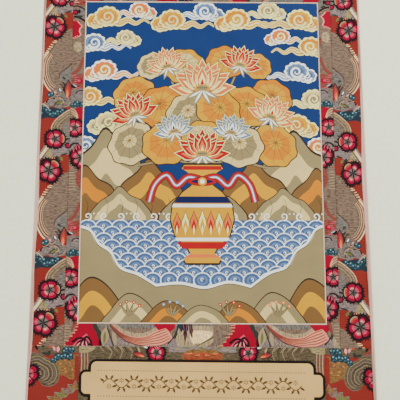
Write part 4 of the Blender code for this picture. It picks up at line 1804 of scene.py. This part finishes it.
@dataclass
class Picture:
    """The woven picture: a generic vase of lotus flowers over water, under drifting clouds."""

    def cloud(self, size: float, yarns: Sequence[Dye], lobes: int = 11) -> Drawing:
        """A cloud with a scalloped pale rim and a curl wound up in its middle.

        Args:
            size: Half its width.
            yarns: The yarns of its rim, its body, its shade and its curl.
            lobes: How many lobes its rim has.

        Returns:
            The cloud.
        """
        rim, fill, shade, core = yarns
        made = Drawing()
        wide, tall = 2.0 * size, 1.62 * size
        made.add(scalloped(wide, tall, lobes, 0.13, 15), INK)
        made.add(scalloped(wide - 1.4, tall - 1.4, lobes, 0.13, 15), rim)
        made.add(scalloped(1.62 * size, 1.24 * size, lobes, 0.11, 22), fill)
        middle = scalloped(1.22 * size, 0.90 * size, lobes - 2, 0.08)
        made.add(Place(0.06 * size, -0.04 * size).move(middle), shade)
        turn = curl(0.56 * size, 1.5, 0.02 * size, -0.03 * size, 200)
        made.add(stroke(turn, 0.26 * size, 0.72), core)
        made.add(stroke(turn, 0.09 * size, 0.5), rim)
        return made

    def streamer(self, length: float, yarns: Sequence[Dye], wide: float) -> Drawing:
        """A cloud's trailing tail: a band in three stepped shades that thins and waves."""
        made = Drawing()
        wave = [(length * i / 30, 4.2 * math.sin(i * 0.55) * (0.5 + i / 60)) for i in range(31)]
        for share, dye in ((1.12, INK), (1.0, yarns[0]), (0.62, yarns[1]), (0.26, yarns[3])):
            made.add(stroke(wave, wide * share, 0.82), dye)
        return made

    def lotus(self, size: float, outer: Dye, inner: Dye, heart: Dye) -> Drawing:
        """A lotus seen from the side, its petals fanned round a seed head."""
        made = Drawing()
        layers = (
            (1.0, 0.46, INK), (0.975, 0.43, CLOUD), (0.92, 0.355, outer), (0.72, 0.25, inner), (0.48, 0.13, heart),
        )
        for count, spread, reach in ((7, 168.0, 1.0), (6, 126.0, 0.88), (5, 84.0, 0.76)):
            turns = [-spread / 2 + spread * i / (count - 1) for i in range(count)]
            for turn in sorted(turns, key=abs, reverse=True):
                rows = ((petal(length, width, steps=6), dye) for length, width, dye in layers)
                made.pile(Place(0, 0, turn, size * reach), rows)
        made.add(oval(0.46 * size, 0.26 * size, 0, 0.05 * size, 18), GOLD)
        made.add(oval(0.34 * size, 0.15 * size, 0, 0.08 * size, 14), SAGE)
        for i in range(5):
            made.add(oval(0.035 * size, 0.035 * size, (i - 2) * 0.06 * size, 0.08 * size, 6), INK)
        for turn in (-118, 118, -150, 150):
            leaf = ((blade(1.0, 0.30), SAGE), (blade(0.8, 0.12), PEARL))
            made.pile(Place(0, 0, turn, size * 0.55), leaf)
        return made

    def pad(self, size: float, fill: Dye, core: Dye, turn: float) -> Drawing:
        """A round lotus leaf with a scalloped rim and radiating veins."""
        made = Drawing()
        angles = [FULL_TURN * i / 48 for i in range(48)]
        reaches = [size * (1 + 0.045 * math.sin(8 * a)) for a in angles]
        rim = [(r * math.cos(a), 0.86 * r * math.sin(a)) for a, r in zip(angles, reaches)]
        spin = Place(0, 0, turn)
        made.pile(spin, (
            (shrunk(rim, 1.045, 0, 0), INK), (rim, fill),
            (shrunk(rim, 0.72, 0, 0.10 * size), core), (shrunk(rim, 0.30, 0, 0.16 * size), fill),
        ))
        for i in range(11):
            angle = FULL_TURN * i / 11
            tip = (0.9 * size * math.cos(angle), 0.76 * size * math.sin(angle))
            made.add(spin.move(stroke([(0, 0.16 * size), tip], 1.1, 0.5)), OCHRE)
        return made

    def steps(self, art: Drawing, outline: Points, foot: Point, rows: Iterable[tuple]) -> None:
        """Draws one outline several times in stepped shades.

        Args:
            art: The drawing to add to.
            outline: The outline at its full size.
            foot: The point that it draws in towards.
            rows: Each copy's share of the full size and its yarn.
        """
        for share, dye in rows:
            art.add(shrunk(outline, share, *foot), dye)

    def sky(self, art: Drawing) -> None:
        """Clouds over the blue ground, in staggered rows."""
        gilt = (CLOUD, GOLD, AMBER, SAND)
        honey = (CLOUD, AMBER, GOLD, CLOUD)
        dawn = (PEARL, CORAL, AMBER, CLOUD)
        mist = (PEARL, POWDER, WATER, PEARL)
        reed = (CLOUD, SAND, SAGE, CLOUD)
        puffs = (
            (-182, 274, 30, gilt, False), (-120, 288, 24, dawn, True), (-58, 268, 30, gilt, False),
            (6, 286, 27, mist, True), (66, 270, 31, honey, False), (128, 288, 25, reed, True),
            (188, 270, 30, gilt, True), (-206, 222, 26, mist, False), (-146, 232, 22, reed, True),
            (150, 236, 23, dawn, False), (208, 216, 28, honey, True), (-186, 168, 29, dawn, False),
            (180, 166, 28, mist, True), (-212, 116, 27, gilt, False), (212, 112, 28, reed, True),
            (-176, 66, 29, reed, False), (178, 62, 30, gilt, True), (-218, 22, 26, mist, False),
            (218, 20, 26, dawn, True),
        )
        for x, y, size, yarns, left in puffs:
            art.put(self.streamer(2.7 * size, yarns, 0.62 * size), x, y - 0.34 * size, flip=left)
        for x, y, size, yarns, left in puffs:
            beside = 0.72 * size if left else -0.72 * size
            art.put(self.cloud(0.62 * size, yarns, 8), x + beside, y - 0.30 * size, flip=left)
            art.put(self.cloud(0.80 * size, yarns), x, y, flip=left)

    def hills(self, art: Drawing) -> None:
        """Low hills along the far shore, each in three stepped shades."""
        ridge = (
            (-176, 12, 84, 118, SAGE, SAND), (176, 8, 86, 116, SAGE, SAND),
            (-96, -34, 70, 84, OCHRE, GOLD), (98, -36, 72, 84, OCHRE, GOLD),
            (-214, -44, 66, 78, OCHRE, AMBER), (216, -48, 62, 76, OCHRE, AMBER),
            (-150, -74, 54, 52, SAGE, SAND), (152, -76, 54, 50, SAGE, SAND), (2, -70, 74, 48, SAGE, SAND),
        )
        foot = -122
        crest = ((-0.80, -0.30), (-0.35, 0.05), (-0.05, 0.34), (0.32, 0.02), (0.74, -0.22))
        for x, y, half, tall, dark, light in ridge:
            anchors = [(x + i * half, y + j * tall) for i, j in crest]
            hill = smooth([(x - half, foot), *anchors, (x + half, foot)])
            self.steps(art, hill, (x, foot), ((1.03, INK), (1, dark), (0.80, light), (0.52, dark)))
            for k in (-0.5, 0.0, 0.5):
                crack = smooth([(x + k * half + dx, y) for dx, y in ((0, -110), (4, -92), (-2, -78))], False, 3)
                art.add(stroke(crack, 1.0, 0.5), INK)

    def water(self, art: Drawing, top: float = -118.0, rows: int = 9, pitch: float = 30.0) -> None:
        """Overlapping scale waves with white crests, and curls along their top edge."""
        art.add(box(-230, -310, 230, top), WATER)
        drop = 12.0
        for row in range(rows):
            y = top - 4 - row * drop
            shift = pitch / 2 if row % 2 else 0.0
            for col in range(-8, 9):
                x = col * pitch + shift
                for r, dye in ((17.0, PEARL), (14.8, WATER), (9.6, POWDER), (6.4, WATER)):
                    art.add(oval(2 * r, 1.7 * r, x, y - 9, 14), dye)
                hand = 1 if (col + row) % 2 else -1
                art.add(stroke(curl(3.6, 0.9 * hand, x, y - 7, -90), 1.7, 0.4), PEARL)
        for col in range(-7, 8):
            hand = 1 if col % 2 else -1
            x = col * pitch
            art.add(stroke(curl(7.5, 1.1 * hand, x, top + 7, -90), 2.8, 0.5), PEARL)
            art.add(oval(3, 3, x + 11 * hand, top + 12, 8), PEARL)

    def bank(self, art: Drawing) -> None:
        """The near bank: stepped hummocks with sprigs."""
        shore = (
            [(-232, -128), (-206, -136), (-190, -160), (-168, -176), (-150, -204), (-118, -216), (-84, -236)],
            [(-84, -236), (-40, -232), (4, -240), (48, -230), (88, -238)],
            [(88, -238), (122, -214), (154, -202), (172, -174), (194, -158), (210, -134), (232, -126)],
        )
        edge = [p for part in shore for p in smooth(part, False)]
        art.add(edge + [(232, -312), (-232, -312)], SAGE)
        art.add(stroke(edge, 5.0), PEARL)
        art.add(stroke([(x, y - 3) for x, y in edge], 1.2), INK)
        hummocks = (
            (-196, 62, 78, OCHRE, GOLD), (198, 60, 76, OCHRE, GOLD), (-128, 50, 48, SAGE, SAND),
            (130, 52, 50, SAGE, SAND), (-62, 46, 34, OCHRE, AMBER), (64, 46, 34, OCHRE, AMBER),
            (0, 44, 26, SAGE, SAND),
        )
        crest = ((-0.7, 0.35), (-0.2, 0.9), (0.3, 0.8), (0.8, 0.3))
        base, root, foot = -296, -312, -310
        for x, half, tall, dark, light in hummocks:
            anchors = [(x + i * half, base + j * tall) for i, j in crest]
            mound = smooth([(x - half, root), *anchors, (x + half, root)])
            self.steps(art, mound, (x, foot), ((1.035, INK), (1, dark), (0.74, light), (0.44, dark)))
        for x, dye in ((-132, SCARLET), (-54, POWDER), (48, SCARLET), (138, CORAL)):
            sprig = (
                (blade(26, 5, 2), INK), (blade(24, 3.4, 2), SAGE),
                (oval(6.4, 6.4, 2, 27, 10), dye), (oval(2.6, 2.6, 2, 27, 8), CLOUD),
            )
            for turn in (-40, -14, 14, 40):
                art.pile(Place(x, -292, turn), sprig)

    def vase(self, art: Drawing) -> None:
        """The vase in the middle, banded, with a sash tied round its neck."""
        half = [
            (0, -196), (30, -196), (34, -188), (22, -178), (26, -170), (50, -146), (58, -116), (54, -88),
            (36, -66), (20, -54), (17, -40), (28, -28), (38, -22), (34, -15), (0, -15),
        ]
        outline = half + [(-x, y) for x, y in reversed(half[1:-1])]
        self.steps(art, outline, (0, -106), ((1.04, INK), (1, GOLD)))
        for low, high, wide, narrow, dye in (
            (-170, -158, 36, 47, SCARLET), (-156, -150, 46, 50, PEARL), (-94, -88, 55.5, 54, PEARL),
            (-86, -74, 52, 43, NAVY), (-186, -180, 33, 24, CORAL), (-24, -17, 36, 35, SCARLET),
        ):
            art.add([(-wide, low), (wide, low), (narrow, high), (-narrow, high)], dye)
        for i in range(-3, 4):
            less = 1.5 * abs(i)
            outer, inner = (CORAL, SCARLET) if i % 2 else (CLOUD, GOLD)
            art.pile(Place(i * 15.5, -146), (
                (petal(48 - less, 15), INK), (petal(46 - less, 13), outer),
                (petal(33 - less, 8), inner), (petal(20, 4), CLOUD),
            ))
        for hand in (1, -1):
            sash = ((0, -44), (26, -38), (48, -54), (66, -34), (88, -52), (98, -84))
            for width, dye in ((15, INK), (13, SCARLET), (5, POWDER), (2, PEARL)):
                art.line([(x * hand, y) for x, y in sash], width, dye)
        for width, height, count, dye in (
            (56, 17, 22, INK), (54, 15, 22, SCARLET), (40, 7, 18, NAVY), (16, 16, 16, GOLD), (9, 9, 12, PEARL),
        ):
            art.add(oval(width, height, 0, -46, count), dye)

    def bouquet(self, art: Drawing) -> None:
        """Stems, round leaves and lotus flowers that rise from the vase."""
        for anchors in (
            [(0, -20), (-3, 40), (2, 112)], [(-4, -20), (-40, 20), (-104, 66)], [(4, -20), (40, 20), (104, 62)],
            [(-3, -20), (-30, 60), (-58, 148)], [(3, -20), (28, 70), (62, 156)],
            [(-6, -20), (-52, -6), (-120, -16)], [(6, -20), (52, -6), (120, -20)],
        ):
            path = smooth(anchors, False, 6)
            art.add(stroke(path, 5.4), INK)
            art.add(stroke(path, 3.6), SAGE)
        for x, y, size, fill, core, turn in (
            (-128, 118, 40, GOLD, AMBER, 24), (130, 114, 40, AMBER, GOLD, -26),
            (-36, 176, 38, GOLD, SAND, 10), (44, 184, 36, AMBER, GOLD, -12),
            (-96, 176, 28, SAND, SAGE, 34), (104, 176, 28, GOLD, AMBER, -30),
            (-78, 96, 44, AMBER, GOLD, 20), (82, 96, 44, GOLD, AMBER, -22),
            (-132, 26, 44, SAND, SAGE, 40), (134, 22, 44, GOLD, AMBER, -32),
            (-66, 26, 46, GOLD, AMBER, 12), (68, 22, 46, SAND, SAGE, -14),
            (-24, 84, 44, SAND, SAGE, 30), (30, 90, 43, GOLD, AMBER, -36), (0, 34, 40, GOLD, SAND, 5),
        ):
            art.put(self.pad(size, fill, core, turn), x, y)
        dawn, dusk = (CORAL, CLOUD, SCARLET), (SCARLET, CORAL, CLOUD)
        frost = (POWDER, PEARL, NAVY)
        for x, y, size, turn, yarns in (
            (-66, 172, 44, 14, dawn), (72, 176, 44, -12, dusk), (-126, 78, 50, 20, dusk), (128, 74, 50, -20, dawn),
            (0, 128, 66, 0, dawn), (-52, 46, 42, 10, frost), (54, 44, 42, -10, frost), (0, 2, 56, 0, dusk),
        ):
            art.put(self.lotus(size, *yarns), x, y, turn)

    def draw(self) -> Drawing:
        """Draws the whole picture from back to front."""
        art = Drawing()
        for part in (self.sky, self.hills, self.water, self.bank, self.bouquet, self.vase):
            part(art)
        return art

    def build(self) -> None:
        cloth = Cloth(
            name="picture_cloth", node="picture_panel", slot="picture_silk",
            outline=box(-CUT.picture_x, -CUT.picture_y, CUT.picture_x, CUT.picture_y), ground=SKY,
            finish=PICTURE_WEAVE, thick=CUT.picture_thick, drawing=self.draw(), pitch=8.0, pucker=0.10,
        )
        cloth.declare(cloth.build(), with_pieces=Edging().build())


@dataclass(frozen=True)
class Studio:
    """The pale floor, the soft lights and the camera at the photograph's angle."""

    camera_place: tuple[float, float, float] = (-0.0146, -0.1405, 0.8819)
    camera_turn: tuple[float, float, float] = (6.188, -0.769, -0.013)
    lens: float = 43.2
    floor_size: float = 9.0

    def floor(self) -> None:
        """Lays a pale floor with a faint mottle."""
        bpy.ops.mesh.primitive_plane_add(size=self.floor_size)
        floor = bpy.context.object
        floor.name = "floor"
        made = bpy.data.materials.new("floor_stone")
        made.use_nodes = True
        tree = made.node_tree
        shader = tree.nodes["Principled BSDF"]
        shader.inputs["Roughness"].default_value = 0.65
        noise = tree.nodes.new("ShaderNodeTexNoise")
        noise.inputs["Scale"].default_value = 140.0
        noise.inputs["Detail"].default_value = 4.0
        where = tree.nodes.new("ShaderNodeTexCoord")
        tree.links.new(where.outputs["Object"], noise.inputs["Vector"])
        ramp = tree.nodes.new("ShaderNodeValToRGB")
        stops = ((0.35, (0.87, 0.90, 0.60, 1.0)), (0.65, (0.95, 0.97, 0.69, 1.0)))
        for element, (position, colour) in zip(ramp.color_ramp.elements, stops):
            element.color = colour
            element.position = position
        tree.links.new(noise.outputs["Fac"], ramp.inputs["Fac"])
        tree.links.new(ramp.outputs["Color"], shader.inputs["Base Color"])
        floor.data.materials.append(made)

    def light(self, name: str, place: tuple[float, float, float], size: float, power: float) -> None:
        """Hangs one soft area light that faces the middle of the scroll."""
        data = bpy.data.lights.new(name, "AREA")
        data.size = size
        data.energy = power
        lamp = bpy.data.objects.new(name, data)
        lamp.location = place
        lamp.rotation_euler = (-Vector(place)).to_track_quat("-Z", "Y").to_euler()
        bpy.context.scene.collection.objects.link(lamp)

    def sky(self) -> None:
        """A pale even light from all round."""
        world = bpy.data.worlds.new("studio")
        world.use_nodes = True
        background = world.node_tree.nodes["Background"]
        background.inputs["Color"].default_value = (0.94, 0.96, 1.0, 1.0)
        background.inputs["Strength"].default_value = 0.93
        bpy.context.scene.world = world

    def camera(self) -> None:
        """Sets the camera where the photograph was taken from."""
        data = bpy.data.cameras.new("camera")
        data.lens = self.lens
        data.sensor_width = 36.0
        camera = bpy.data.objects.new("camera", data)
        camera.location = self.camera_place
        camera.rotation_euler = Euler([math.radians(a) for a in self.camera_turn], "XYZ")
        bpy.context.scene.collection.objects.link(camera)
        bpy.context.scene.camera = camera

    def build(self) -> None:
        """Sets up the whole studio."""
        self.floor()
        self.light("key", (1.1, 1.3, 1.9), 1.4, 63.0)
        self.light("fill", (-1.4, -0.4, 1.8), 2.0, 22.0)
        self.sky()
        self.camera()


def main() -> None:
    """Builds the scroll piece by piece."""
    logging.basicConfig(level=logging.INFO, format="%(name)s: %(message)s")
    Studio().build()
    Picture().build()
    Mount().build()
    Tablet().build("foot_centre_cloth")


if __name__ == "__main__":
    main()
